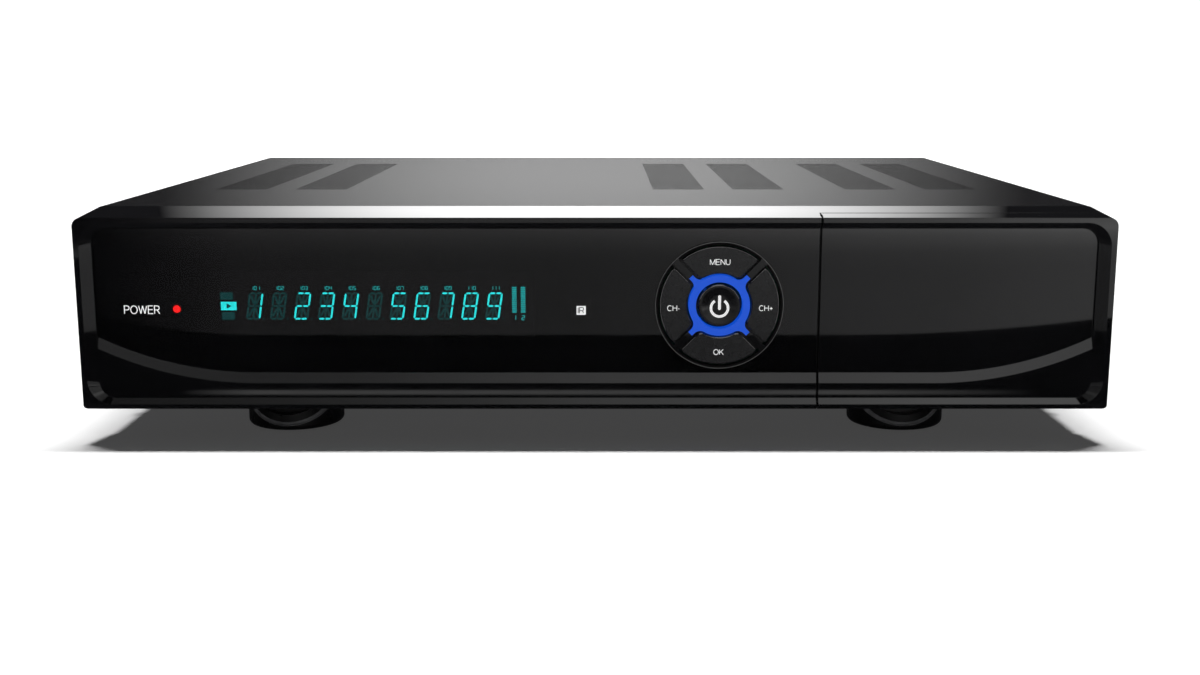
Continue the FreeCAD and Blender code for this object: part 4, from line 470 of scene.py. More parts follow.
def key_moulding(name, colour, roughness=0.22):
    """Key caps: semi-gloss with a faint fine spark texture."""
    finish = Finish(name, colour, roughness, IOR=1.5)
    finish.tint(finish.remap(finish.noise(0.002), 0, 1), scaled(colour, 1.25))
    finish.uneven(0.004, 0.04).rounded(0.16 * MM)
    return finish.bumpy(finish.noise(0.00025, 1.0), 0.00002, 0.15).material


def matte_moulding(name, colour, roughness=0.5, grain=0.0004):
    """Spark-textured moulding."""
    finish = Finish(name, colour, roughness, IOR=1.46)
    finish.tint(finish.remap(finish.noise(grain * 6), 0, 1), scaled(colour, 1.5))
    finish.uneven(0.006, 0.06).rounded(0.2 * MM)
    return finish.bumpy(finish.noise(grain, 2.0), 0.00005, 0.35).material


def glowing(name, colour, strength, spots=0.0012, dark=0.8):
    """A lit surface whose glow is a little uneven, like phosphor or a moulded light guide."""
    finish = Finish(name, scaled(colour, 0.3), 0.35)
    finish.tint(finish.remap(finish.noise(spots), 0, 1), colour, "Emission Color")
    mix = finish.shader.inputs["Emission Color"].links[0].from_node
    mix.inputs[6].default_value = (*scaled(colour, dark), 1.0)
    finish.set("Emission Strength", strength)
    return finish.material


def print_ink(name, colour, glow=0.45):
    """Screen print: thin dense ink with a slight grain, and a glow that is painted light, keeping the ink
    bright whatever lights it.
    """
    finish = Finish(name, colour, 0.45)
    finish.tint(finish.remap(finish.noise(0.00025), 0, 1), scaled(colour, 0.85))
    finish.set("Emission Color", (*colour, 1.0))
    finish.set("Emission Strength", glow)
    return finish.material


def rolled_steel(name, colour, roughness=0.34, stretch=(1, 40, 40), grain=0.003):
    """Sheet with a rolling grain along one axis."""
    finish = Finish(name, colour, roughness, 1.0)
    grain_mask = finish.noise(grain, 3.0, stretch)
    finish.tint(finish.remap(grain_mask, 0, 1), scaled(colour, 0.8))
    finish.uneven(grain, 0.07, stretch)
    return finish.bumpy(grain_mask, 0.00002, 0.1).material


def bright_metal(name, colour, roughness=0.2):
    """Plated metal with fine tool marks and small stains."""
    finish = Finish(name, colour, roughness, 1.0)
    finish.tint(finish.remap(finish.noise(0.002, 4.0), 0, 1), scaled(colour, 0.75))
    return finish.uneven(0.0008, 0.08).material


def circuit_board(name, colour, trace):
    """Solder mask over copper: a brick pattern gives the runs, a fine noise the weave."""
    finish = Finish(name, colour, 0.38, IOR=1.5)
    runs = finish.node("TexBrick", Scale=1.0, offset=0.37)
    for socket, value in (("Color1", (1, 1, 1, 1)), ("Color2", (0.6, 0.6, 0.6, 1)), ("Mortar", (0, 0, 0, 1)),
                          ("Mortar Size", 0.09), ("Brick Width", 0.9), ("Row Height", 0.22)):
        runs.inputs[socket].default_value = value
    finish.link(finish.stretched((110, 110, 110)), runs.inputs["Vector"])
    finish.tint(runs.outputs["Color"], trace)
    finish.uneven(0.002, 0.06)
    return finish.bumpy(runs.outputs["Color"], 0.00004, 0.3).material


def banded(name, colour, other, axis_scale, roughness=0.5):
    """Two colours in bands along one axis, as on a ribbon cable or a wound coil."""
    finish = Finish(name, colour, roughness)
    wave = finish.node("TexWave", Scale=1.0, Distortion=0.3, bands_direction="X")
    finish.link(finish.stretched(axis_scale), wave.inputs["Vector"])
    finish.tint(wave.outputs["Color"], other)
    return finish.bumpy(wave.outputs["Color"], 0.0001, 0.4).material


def tube_glass():
    """Dark display glass with the fine grid of its phosphor plate behind it."""
    finish = Finish("display glass", (0.004, 0.006, 0.006), 0.12, IOR=1.5)
    mesh_grid = finish.node("TexBrick", Scale=1.0, offset=0.0)
    for socket, value in (("Mortar Size", 0.12), ("Brick Width", 0.6), ("Row Height", 0.6)):
        mesh_grid.inputs[socket].default_value = value
    finish.link(finish.stretched((1600, 1600, 1600)), mesh_grid.inputs["Vector"])
    finish.tint(mesh_grid.outputs["Fac"], (0.02, 0.03, 0.03))
    return finish.material


# Pieces


class RECEIVER_OT_cover(Operator):
    """Powder coats the cover and plates the screws"""

    bl_idname = "receiver.cover"
    bl_label = "Cover"

    def execute(self, context):
        coat = powder_coat()
        paint(coat, "top_cover")
        paint(bright_metal("zinc screws", (0.5, 0.5, 0.5), 0.28), "cover_screws", "fan_screws",
              "foot_screws", "board_screws", "disk_screws", "front_board_screws", "door_pins",
              "serial_posts")
        self.recesses()
        return {"FINISHED"}

    def recesses(self):
        """The cross recess in each screw head, drawn as painted shade: two dark bars laid crosswise just proud
        of the head.
        """
        dark = matte_moulding("painted recess shade", (0.004, 0.004, 0.004), 0.6)
        reach, half, proud = 1.45 * MM, 0.34 * MM, 0.02 * MM
        cross = bars([(-reach, 0), (0, -reach)], [(reach, 0), (0, reach)], half)
        low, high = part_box("cover_screws")
        left, right = (about("cover_screws", **COVER_SCREWS) for _ in range(2))
        left[:, 0], right[:, 0] = low.x - proud, high.x + proud
        fan, feet = about("fan_screws", **FAN_SCREWS), about("foot_screws", **FEET)
        fan[:, 1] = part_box("fan_screws")[1].y + proud
        feet[:, 2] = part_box("foot_screws")[0].z - proud
        for name, spots, faces in (
                ("cover_screws.painted_recess_shade_left", left, LEFT), ("cover_screws.painted_recess_shade_right", right, RIGHT),
                ("fan_screws.painted_recess_shade", fan, BACK), ("foot_screws.painted_recess_shade", feet, DOWN)):
            piece_from(name, flat_mesh(name, cross, *spots, faces=faces), dark)


class RECEIVER_OT_front(Operator):
    """Finishes the sculpted front and the door, and glazes the window"""

    bl_idname = "receiver.front"
    bl_label = "Front and door"

    def execute(self, context):
        gloss = gloss_moulding("piano black", settings().front.colour)
        paint(gloss, "front_bezel", "door")
        paint(smoked_window(), "front_window")
        self.seam_shade()
        return {"FINISHED"}

    def seam_shade(self):
        """Dark bands along both edges of the door's seam: an upright strip from the front's foot to its
        top in front of each edge, dropped back onto the surface behind it."""
        left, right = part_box("front_window")[1].x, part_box("door")[0].x
        height = np.linspace(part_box("door")[0].z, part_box("door")[1].z, 241)[1:-1, None]
        dark = matte_moulding("seam shade", (0.001, 0.001, 0.001), 0.9)
        for name, body, edge, side, targets in (
                ("front_bezel.seam_shade", "receiver", left, -1, ("front_bezel", "front_window")),
                ("door.seam_shade", "door", right, 1, ("door", "door"))):
            across = edge + side * np.array([[0.02, 0.22]])[:, ::side] * MM
            flat = np.stack(np.broadcast_arrays(across, height), axis=-1)
            strip = piece_from(name, flat_mesh(name, [flat], (0, front_of("door") - MM, 0)), dark, body)
            project(strip, targets)


# Words on the keys: node, body, word, its place across and up from the pad's centre, and its width.
KEY_WORDS = (
    ("key_up", "up_key", "MENU", 0, 14.5, 6.5),
    ("key_down", "down_key", "OK", -0.1, -15.5, 3.2),
    ("key_left", "left_key", "CH-", -15.1, -0.8, 4.0),
    ("key_right", "right_key", "CH+", 15.3, -0.8, 4.4),
)


def around(radius, start, stop, steps=25):
    """Points at a radius from one angle to another, in degrees."""
    return np.array(arc((0, 0), (radius, radius), start, stop, steps))


def beside(turn, offset, start, stop):
    """Two points beside a ray that leaves the centre at an angle in degrees: at the start and stop
    lengths along it, moved to its left by the offset."""
    along = np.array([math.cos(math.radians(turn)), math.sin(math.radians(turn))])
    return np.array([[start], [stop]]) * along + offset * np.array([-along[1], along[0]])


class RECEIVER_OT_key_pad(Operator):
    """Finishes the key pad, lights its ring and prints its words and signs"""

    bl_idname = "receiver.key_pad"
    bl_label = "Key pad"

    def execute(self, context):
        look = settings().pad
        key = key_moulding("key black", (0.012, 0.012, 0.013))
        paint(gloss_moulding("pad gloss", (0.006, 0.006, 0.0065)), "pad_frame")
        paint(key_moulding("power key black", (0.006, 0.006, 0.007), 0.14), "power_key")
        paint(key, "key_up", "key_down", "key_left", "key_right")
        paint(glowing("ring blue", tuple(look.ring_colour), look.ring_glow, 0.004, 0.93), "light_ring")
        paint(matte_moulding("switch black", (0.02, 0.02, 0.02)), "tact_switches")
        ink = print_ink("white print", tuple(look.mark_colour))
        centre = middle("power_key")
        self.edges(centre)
        face = front_of("key_up") - 0.02 * MM
        for node, body, text, across, up, width in KEY_WORDS:
            spot = (centre[0] + across * MM, face, centre[2] + up * MM)
            words(node + ".word", text, look.word_height, spot, ink, body, width=width * MM)
        self.power_sign(ink, centre)
        return {"FINISHED"}

    def edges(self, centre):
        """Painted highlights along the upper edges of the keys and round the frame, and a band of painted
        shadow inside the frame between its spokes, where the gap round the keys falls in shade. Each is a
        ribbon along points round the pad's centre, or beside a diagonal through it. The sizes of the lines
        are in millimetres."""
        # painted highlight grey for the lit edges, painted shadow black for the gap inside the frame
        shine = matte_moulding("painted edge highlight", (0.1, 0.1, 0.1), 0.3)
        dark = matte_moulding("painted gap shadow", (0.001, 0.001, 0.001), 0.9)
        rim, waist, power_rim, frame_rim, shadow_rim = 19.43, 10.85, 6.72, 21.02, 20.5
        flank, near, far = 1.84, 12.9, 18.6
        highlight_half, shadow_half, spoke, chamfer = 0.09 * MM, 0.38 * MM, 4, 0.1 * MM
        lines = {
            "key_up": ("up_key", [around(rim, 52, 128)]),
            "power_key": ("power_button", [around(power_rim, 20, 160)]),
            "key_left": ("left_key", [beside(135, flank, near, far), around(rim, 142.6, 205)]),
            "key_right": ("right_key", [around(rim, -25, 37.4), beside(45, -flank, far, near)]),
            "key_down": ("down_key", [beside(225, flank, far, near + 0.3), around(waist, 243, 297, 13),
                                      beside(315, -flank, near + 0.3, far)]),
        }
        for node, (body, runs) in lines.items():
            name = node + ".painted_edge_highlight"
            face = front_of(node) + (0 if node == "power_key" else chamfer)
            line = ribbon(np.concatenate(runs) * MM, highlight_half)
            piece_from(name, flat_mesh(name, [line], (centre[0], face, centre[2])), shine, body)
        spot = (centre[0], front_of("pad_frame") - 0.02 * MM, centre[2])
        name = "pad_frame.painted_edge_highlight"
        line = ribbon(around(frame_rim, 0, 360, 97) * MM, highlight_half)
        piece_from(name, flat_mesh(name, [line], spot), shine)
        # painted shadow: dark bands where the gap between the keys and the frame falls in shade
        name = "pad_frame.painted_gap_shadow"
        lips = [ribbon(around(shadow_rim, turn + spoke, turn + 90 - spoke) * MM, shadow_half)
                for turn in (45, 135, 225, 315)]
        piece_from(name, flat_mesh(name, lips, spot), dark)

    def power_sign(self, ink, centre):
        """An arc of a ring open at the top, as angle by radius, and a bar with round ends whose
        half width at each height is the square root of r squared less the distance into the end
        squared."""
        face = front_of("power_key") + 0.02 * MM
        reach, stroke, opening = 3.25 * MM, 0.87 * MM, math.radians(34)
        turn = np.linspace(opening, 2 * math.pi - opening, 49)[:, None]
        radius = np.array([reach - stroke, reach])[None, :]
        ring = np.stack([np.sin(turn) * radius, np.cos(turn) * radius], axis=-1)
        spot = (centre[0], face, centre[2] - 0.75 * MM)
        piece_from("power_key.ring_sign", grid_mesh("ring_sign", stood(ring, spot)[None]), ink,
                   "power_button")
        half, low, high = 0.47 * MM, -1.4 * MM, 3.5 * MM
        height = np.concatenate([low + half * (1 - np.cos(np.linspace(0, math.pi / 2, 7))),
                                 high - half * (1 - np.cos(np.linspace(math.pi / 2, 0, 7)))])
        into = np.clip(np.maximum(low + half - height, height - high + half), 0, half)
        wide = np.sqrt(half**2 - into**2)
        bar = np.stack([np.stack([-wide, wide], axis=-1), np.stack([height, height], axis=-1)], axis=-1)
        spot = (centre[0], face - 0.01 * MM, centre[2])
        piece_from("power_key.bar_sign", grid_mesh("bar_sign", stood(bar, spot)[None]), ink,
                   "power_button")


# Segments of one character: where each starts and ends, as shares of its width and height.
SEGMENTS = {
    "a": ((0, 1), (0.5, 1)), "o": ((0.5, 1), (1, 1)), "b": ((1, 1), (1, 0.5)), "c": ((1, 0.5), (1, 0)),
    "d": ((0, 0), (0.5, 0)), "p": ((0.5, 0), (1, 0)), "e": ((0, 0.5), (0, 0)), "f": ((0, 1), (0, 0.5)),
    "g": ((0, 0.5), (0.5, 0.5)), "h": ((0.5, 0.5), (1, 0.5)), "i": ((0.13, 0.93), (0.4, 0.57)),
    "j": ((0.5, 1), (0.5, 0.5)), "k": ((0.87, 0.93), (0.6, 0.57)), "l": ((0.13, 0.07), (0.4, 0.43)),
    "m": ((0.5, 0.5), (0.5, 0)), "n": ((0.87, 0.07), (0.6, 0.43)),
}
FIGURES = {
    "0": "aobcdpef", "1": "bc", "2": "aobghedp", "3": "aobghcdp", "4": "fghbc", "5": "aofghcdp",
    "6": "aofghedpc", "7": "aobc", "8": "aobcdpefgh", "9": "aobcdpfgh",
}


class RECEIVER_OT_display(Operator):
    """Builds the figures, bars and small numbers of the display, the lamp and the infrared eye"""

    bl_idname = "receiver.display"
    bl_label = "Display and lamps"

    def execute(self, context):
        look = settings().display
        paint(tube_glass(), "display_tube")
        lit = glowing("phosphor lit", tuple(look.colour), look.glow)
        ghost = glowing("phosphor unlit", tuple(look.colour), look.glow * look.ghost)
        # the first character's middle, just in front of the glass
        origin = np.array([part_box("display_tube")[0].x, front_of("display_tube"), middle("display_tube")[2]])
        origin += np.array([15.5, -0.03, -0.55]) * MM
        self.figures(lit, ghost, origin)
        self.small_signs(lit, ghost, origin)
        self.lamp()
        return {"FINISHED"}

    def figures(self, lit, ghost, origin):
        """The segments of every character and a point after it, all the lit ones as one piece and all
        the unlit ones as another. A segment is a bar that stops short of its ends by a gap."""
        look = settings().display
        half, gap, point_half = 0.31 * MM, 0.1 * MM, 0.3 * MM
        drawn = {True: [], False: []}
        size = np.array([look.width - 2 * half, look.height - 2 * half])
        for place, figure in enumerate(look.text.ljust(look.places)):
            offset = np.array([look.pitch * place, 0])
            for name, (start, end) in SEGMENTS.items():
                start, end = (np.array(p) * size - size / 2 for p in (start, end))
                unit = (end - start) / np.linalg.norm(end - start)
                drawn[name in FIGURES.get(figure, "")].append((start + unit * gap, end - unit * gap, offset))
            point = np.array([0.75 * look.width, -size[1] / 2])
            drawn[False].append((point - (point_half, 0), point + (point_half, 0), offset))
        for on, material in ((True, lit), (False, ghost)):
            starts, ends, offsets = (np.array(column) for column in zip(*drawn[on]))
            flat = bars(starts, ends, half, look.slant) + offsets[:, None, None]
            name = "display.lit_segments" if on else "display.unlit_segments"
            self.on_glass(name, stood(flat, origin), material)

    def on_glass(self, name, grids, material):
        """Flat grids as a piece of the display."""
        piece_from(name, grid_mesh(name, grids, smooth=False), material)

    def small_signs(self, lit, ghost, origin):
        """Level bars of short strokes, three boxes of the play sign, and small numbers."""
        look = settings().display
        paler = glowing("phosphor pale", tuple(look.colour), look.glow * 0.45)
        strokes, pitch, width, half = 14, 0.63 * MM, 1.5 * MM, 0.22 * MM
        rise = -2.0 * MM + pitch * np.arange(strokes)
        for count, across in ((1, 85.9 * MM), (2, 88.8 * MM)):
            starts = np.stack([np.full(strokes, across - width / 2), rise], axis=1)
            flat = bars(starts, starts + (width, 0), half, tip=False)
            self.on_glass(f"display.level_{count}", stood(flat, origin), paler)
            small_number(f"display.level_number_{count}", str(count), 1.6 * MM,
                         origin + (across, 0, -3.9 * MM), paler)
        for name, left, right, low, high, material in (
                ("play", -11.2, -6.0, -1.4, 1.4, lit), ("upper", -11.3, -7.1, 2.1, 4.6, ghost),
                ("lower", -11.0, -6.7, -4.6, -2.0, ghost)):
            box = np.array([[[left, low], [right, low]], [[left, high], [right, high]]]) * MM
            self.on_glass(f"display.box_{name}", stood(box, origin)[None], material)
        sign = np.array([[[-0.7, -0.9], [-0.7, 0.9]], [[0.9, 0.0], [0.9, 0.0]]]) * MM
        spot = origin + np.array([-8.6, -0.02, 0]) * MM
        self.on_glass("display.play_sign", stood(sign, spot)[None], ghost)
        for place in range(look.places):
            spot = origin + (look.pitch * place + 0.45 * MM, 0, 6.0 * MM)
            small_number(f"display.number_{place + 1}", str(101 + place), 1.25 * MM, spot, paler)

    def lamp(self):
        """The red lamp, the infrared eye, and the words and the sign printed by them. The lamp's
        bright core is a flat disc, as radius by angle."""
        paint(glowing("lamp red", (0.3, 0.005, 0.005), 0.8), "power_lamp")
        eye = Finish("infrared filter", (0.02, 0.004, 0.008), 0.12)
        eye.tint(eye.remap(eye.noise(0.003), 0, 1), (0.03, 0.006, 0.01))
        paint(eye.material, "infrared_eye")
        face = front_of("front_window") - 0.02 * MM
        lamp, sensor = middle("power_lamp"), middle("infrared_eye")
        turn = np.linspace(0, 2 * math.pi, 33)[:-1][None, :]
        radius = np.array([0.01, 0.6, 1.05, 1.25])[:, None] * MM
        core = turned_about(lamp[0], lamp[2] - 0.3 * MM, turn, radius, front_of("power_lamp") - 0.03 * MM)
        piece_from("power_lamp.core", grid_mesh("core", core[None], wrap_columns=True, flip=True),
                   glowing("lamp core", (0.95, 0.012, 0.012), 32.0))
        ink = print_ink("window print", (0.85, 0.85, 0.85))
        words("window.power_word", "POWER", 2.6 * MM, (lamp[0] - 10.9 * MM, face, lamp[2] - 0.2 * MM),
              ink, width=11.6 * MM, half=0.15 * MM)
        half_wide, half_tall = 1.5 * MM, 1.45 * MM
        plate = np.array([[[-half_wide, -half_tall], [half_wide, -half_tall]],
                          [[-half_wide, half_tall], [half_wide, half_tall]]])
        spot = np.array([sensor[0], face, sensor[2] - 0.4 * MM])
        piece_from("window.sensor_sign", grid_mesh("sensor_sign", stood(plate, spot)[None], smooth=False),
                   print_ink("sign white", (0.85, 0.85, 0.85), 0.6))
        words("window.sensor_word", "IR", 1.9 * MM, spot - (0, 0.01 * MM, 0),
              print_ink("dark print", (0.02, 0.02, 0.02), 0.0), width=1.95 * MM, half=0.16 * MM)


class RECEIVER_OT_feet(Operator):
    """Finishes the feet and their rubber pads"""

    bl_idname = "receiver.feet"
    bl_label = "Feet"

    def execute(self, context):
        paint(key_moulding("foot black", (0.006, 0.006, 0.0065), 0.3), "feet")
        paint(matte_moulding("pad rubber", (0.02, 0.02, 0.02), 0.8, 0.0008), "foot_pads")
        self.lips()
        return {"FINISHED"}

    def lips(self):
        """A rolled lip under the scoop of each foot, coloured a grey far lighter than the black foot as a
        painted highlight. Across it runs from one ellipse to a wider one, and it stands out of the foot's
        drum by the sine of the share of the way: y is minus the square root of the square of the drum's
        radius with that rise, less the square of x."""
        low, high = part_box("feet")
        turn = np.radians(np.linspace(205, 335, 49))[:, None]
        share = np.linspace(0, 1, 9)[None]
        x = (13.1 + 1.9 * share) * MM * np.cos(turn)
        z = 12 * MM + (8 + 1.5 * share) * MM * np.sin(turn)
        rise = (0.22 * np.sin(math.pi * share) - 0.03) * MM
        y = -np.sqrt((FOOT_RADIUS + rise) ** 2 - x ** 2)
        lip = np.stack([x, y, z], axis=-1)
        centres = np.array(list(product((low.x + FOOT_RADIUS, high.x - FOOT_RADIUS),
                                        (low.y + FOOT_RADIUS, high.y - FOOT_RADIUS), (0,))))
        # the lip's light grey is a painted highlight on the black foot
        piece_from("feet.lips", grid_mesh("feet_lips", lip[None] + centres[:, None, None], flip=True),
                   key_moulding("foot lip painted highlight", (0.13, 0.13, 0.135), 0.35))


class RECEIVER_OT_sockets(Operator):
    """Finishes the back: panel, sockets, mains inlet and fan"""

    bl_idname = "receiver.sockets"
    bl_label = "Back and sockets"

    def execute(self, context):
        zinc = rolled_steel("zinc steel", (0.52, 0.53, 0.54))
        paint(zinc, "chassis_tray", "rear_panel", "disk_cradle", "tuner_bracket")
        paint(rolled_steel("tin plate", (0.66, 0.66, 0.65), 0.26, (1, 30, 30), 0.002), "tuner_lower",
              "tuner_upper", "ci_cage", "usb_front", "lan_socket", "hdmi_socket", "serial_socket")
        paint(bright_metal("nickel plate", (0.7, 0.69, 0.66)), "aerial_nuts", "phono_rings", "door_striker")
        black = matte_moulding("moulded black", (0.016, 0.016, 0.016))
        paint(black, "card_bay", "smartcard_reader", "phono_housing", "scart_block", "mains_inlet",
              "mains_switch", "fan_frame", "fan_rotor")
        paint(key_moulding("rocker black", (0.012, 0.012, 0.012), 0.3), "mains_rocker")
        self.threads()
        self.collars()
        self.contacts()
        self.rocker_marks()
        return {"FINISHED"}

    def threads(self):
        """The aerial barrels' threads: turn by length, with the radius a triangle wave of the length
        over the pitch less the turn over a full turn."""
        root, depth, pitch = 4.74 * MM, 0.24 * MM, 0.8 * MM
        start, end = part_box("aerial_nuts")[1].y + 0.4 * MM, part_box("tuner_lower")[1].y - 0.5 * MM
        turn = np.linspace(0, 2 * math.pi, 33)[:-1][None, :]
        y = np.linspace(start, end, 83)[:, None]
        wave = np.abs(((y / pitch - turn / (2 * math.pi)) % 1) * 2 - 1)
        grids = [turned_about(x, z, turn, root + depth * wave, y)
                 for x, _, z in about("aerial_nuts", **AERIALS)]
        piece_from("tuner.threads", grid_mesh("threads", np.stack(grids), wrap_columns=True),
                   bright_metal("thread nickel", (0.68, 0.67, 0.64), 0.22))

    def collars(self):
        """A coloured collar round each phono ring: turn by four points of its section, from the bore
        out over its face and a chamfer and back to the panel."""
        turn = np.linspace(0, 2 * math.pi, 41)[:-1][None, :]
        radius = np.array([4.2, 5.4, 5.8, 5.9])[:, None] * MM
        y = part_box("aerial_nuts")[0].y + np.array([1, 1, 0.7, 0])[:, None] * MM
        colours = {"yellow": (0.75, 0.5, 0.02), "white": (0.75, 0.75, 0.73), "red": (0.5, 0.01, 0.01),
                   "green": (0.02, 0.3, 0.04), "blue": (0.01, 0.06, 0.45), "orange": (0.7, 0.18, 0.01)}
        spots = sorted(about("phono_rings", **PHONO).tolist(), key=lambda spot: (-spot[2], -spot[0]))
        for (name, colour), (x, _, z) in zip(colours.items(), spots):
            grid = turned_about(x, z, turn, radius, y)
            piece_from(f"phono.collar_{name}", grid_mesh(name, grid[None], wrap_columns=True),
                       matte_moulding(f"collar {name}", colour, 0.4))

    def contacts(self):
        """Eight sprung wires in the network socket: each a ribbon that slants inward and down."""
        pitch, half = 1.02 * MM, 0.25 * MM
        along = np.linspace(0, 1, 9)[:, None]
        mouth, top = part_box("lan_socket")[1].y - 0.7 * MM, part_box("lan_socket")[1].z - 3.0 * MM
        wires = []
        for wire in range(8):
            x = middle("lan_socket")[0] + (wire - 3.5) * pitch + np.array([[-half, half]])
            y, z = mouth - 7.5 * MM * along, top - 3.2 * MM * along**1.6
            wires.append(np.stack(np.broadcast_arrays(x, y, z), axis=-1))
        piece_from("lan_socket.contacts", grid_mesh("contacts", np.stack(wires)),
                   bright_metal("contact gold", (0.8, 0.58, 0.2), 0.2))

    def rocker_marks(self):
        """A bar and a ring printed on the rocker: flat behind it, then dropped onto its surface."""
        place, stroke = middle("mains_rocker"), 0.2 * MM
        place[1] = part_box("mains_rocker")[1].y + 5 * MM
        ring = ribbon(arc((0, -4.6 * MM), (1.5 * MM, 1.5 * MM), 0, 360, 33), stroke)
        bar = ribbon([(0, height * MM) for height in np.linspace(3.2, 6.2, 7)], stroke)
        marks = piece_from("mains_rocker.marks", flat_mesh("rocker_marks", [ring, bar], place, faces=BACK),
                           print_ink("rocker print", (0.8, 0.8, 0.8), 0.1), "rocker")
        project(marks, ("mains_rocker", "mains_rocker"), back=False)


class RECEIVER_OT_inside(Operator):
    """Finishes the boards, the power supply, the disk and the cable"""

    bl_idname = "receiver.inside"
    bl_label = "Inside"

    def execute(self, context):
        paint(circuit_board("green board", (0.01, 0.1, 0.035), (0.03, 0.2, 0.07)),
              "main_board", "front_board")
        paint(circuit_board("tan board", (0.4, 0.28, 0.1), (0.5, 0.36, 0.15)), "supply_board")
        paint(bright_metal("standoff brass", (0.72, 0.52, 0.22), 0.25), "board_standoffs")
        paint(rolled_steel("extruded aluminium", (0.6, 0.61, 0.62), 0.4, (40, 1, 40), 0.002),
              "processor_sink", "supply_sink", "hard_disk")
        paint(banded("transformer tape", (0.6, 0.45, 0.05), (0.5, 0.35, 0.03), (1, 1, 400)), "transformer")
        paint(banded("capacitor sleeve", (0.01, 0.02, 0.07), (0.02, 0.035, 0.1), (60, 1, 1), 0.25),
              "mains_capacitors")
        paint(banded("ribbon grey", (0.55, 0.55, 0.53), (0.35, 0.35, 0.34), (800, 1, 1)), "ribbon_cable")
        paint(matte_moulding("ferrite", (0.06, 0.06, 0.06), 0.6), "door_magnet")
        return {"FINISHED"}


# Stage


def profile(tree, source, stops, smooth):
    """Shares at places from 0 to 1, joined by straight or smooth runs."""
    ramp = tree.nodes.new("ShaderNodeValToRGB")
    ramp.color_ramp.interpolation = "EASE" if smooth else "LINEAR"
    elements = ramp.color_ramp.elements
    elements[0].position, elements[1].position = stops[0][0], stops[-1][0]
    for place, _ in stops[1:-1]:
        elements.new(place)
    for element, (_, share) in zip(elements, stops):
        element.color = (share, share, share, 1)
    tree.links.new(source, ramp.inputs["Fac"])
    return ramp.outputs["Color"]


EDGES = ((0, 0), (0.15, 1), (0.85, 1), (1, 0))
BELL = ((0, 0), (0.5, 1), (1, 0))


def hump(rise, fall, rise_power, fall_power, steps=11):
    """Stops of a raised sine: it grows as sin(pi / 2 * s / rise) to a power, stays full from rise to
    fall, and shrinks as sin(pi / 2 * (1 - s) / (1 - fall)) to a power."""
    share = np.linspace(0, 1, steps)
    wave = np.sin(math.pi / 2 * share)
    up = zip(rise * share, wave ** rise_power)
    down = zip(1 - (1 - fall) * share[::-1], wave[::-1] ** fall_power)
    return [*up, *down]


def card(name, corners, strength, sideways=EDGES, upright=EDGES, smooth=True, lifts=()):
    """A lit card that only reflections see: a grid of s by t between four corners (low left, low
    right, high left, high right). Its glow is a profile over s times one over t, each given as
    places and shares. A lift (start, stop, height) raises its lower edge beyond a share of s by
    the square of the way from start to stop."""
    low_left, low_right, high_left, high_right = (np.array(c, float) for c in corners)
    s, t = np.meshgrid(np.linspace(0, 1, 33), np.linspace(0, 1, 2))
    across, up = s[..., None], t[..., None]
    low, high = low_left + across * (low_right - low_left), high_left + across * (high_right - high_left)
    for start, stop, height in lifts:
        low = low + np.clip((across - start) / (stop - start), 0, None) ** 2 * height * (high - low)
    points = low + up * (high - low)
    mesh = mesh_of(name, points, grid_faces(2, 33))
    layer = mesh.uv_layers.new(name="card")
    share = np.stack([s, t], axis=-1).reshape(-1, 2)
    corner = np.empty(len(mesh.loops), dtype=np.int32)
    mesh.loops.foreach_get("vertex_index", corner)
    layer.data.foreach_set("uv", share[corner].ravel())
    material = bpy.data.materials.new(name)
    material.use_nodes = True
    tree = material.node_tree
    tree.nodes.clear()
    output = tree.nodes.new("ShaderNodeOutputMaterial")
    glow = tree.nodes.new("ShaderNodeEmission")
    uv = tree.nodes.new("ShaderNodeUVMap")
    uv.uv_map = "card"
    split = tree.nodes.new("ShaderNodeSeparateXYZ")
    tree.links.new(uv.outputs["UV"], split.inputs["Vector"])
    over_s, over_both = (tree.nodes.new("ShaderNodeMath") for _ in range(2))
    over_s.operation = over_both.operation = "MULTIPLY"
    over_s.inputs[0].default_value = strength
    tree.links.new(profile(tree, split.outputs["X"], sideways, smooth), over_s.inputs[1])
    tree.links.new(over_s.outputs[0], over_both.inputs[0])
    tree.links.new(profile(tree, split.outputs["Y"], upright, smooth), over_both.inputs[1])
    tree.links.new(over_both.outputs[0], glow.inputs["Strength"])
    tree.links.new(glow.outputs["Emission"], output.inputs["Surface"])
    mesh.materials.append(material)
    shown = bpy.data.objects.new(name, mesh)
    bpy.context.scene.collection.objects.link(shown)
    shown.visible_camera = shown.visible_diffuse = shown.visible_shadow = False
    return shown


def upright_card(name, x, y, z, strength, **profiles):
    """A card that stands facing the front or the back."""
    return card(name, [(across, y, up) for up in z for across in x], strength, **profiles)


def level_card(name, x, y, z, strength, **profiles):
    """A card that lies level; t runs along y."""
    return card(name, [(across, back, z) for back in y for across in x], strength, **profiles)


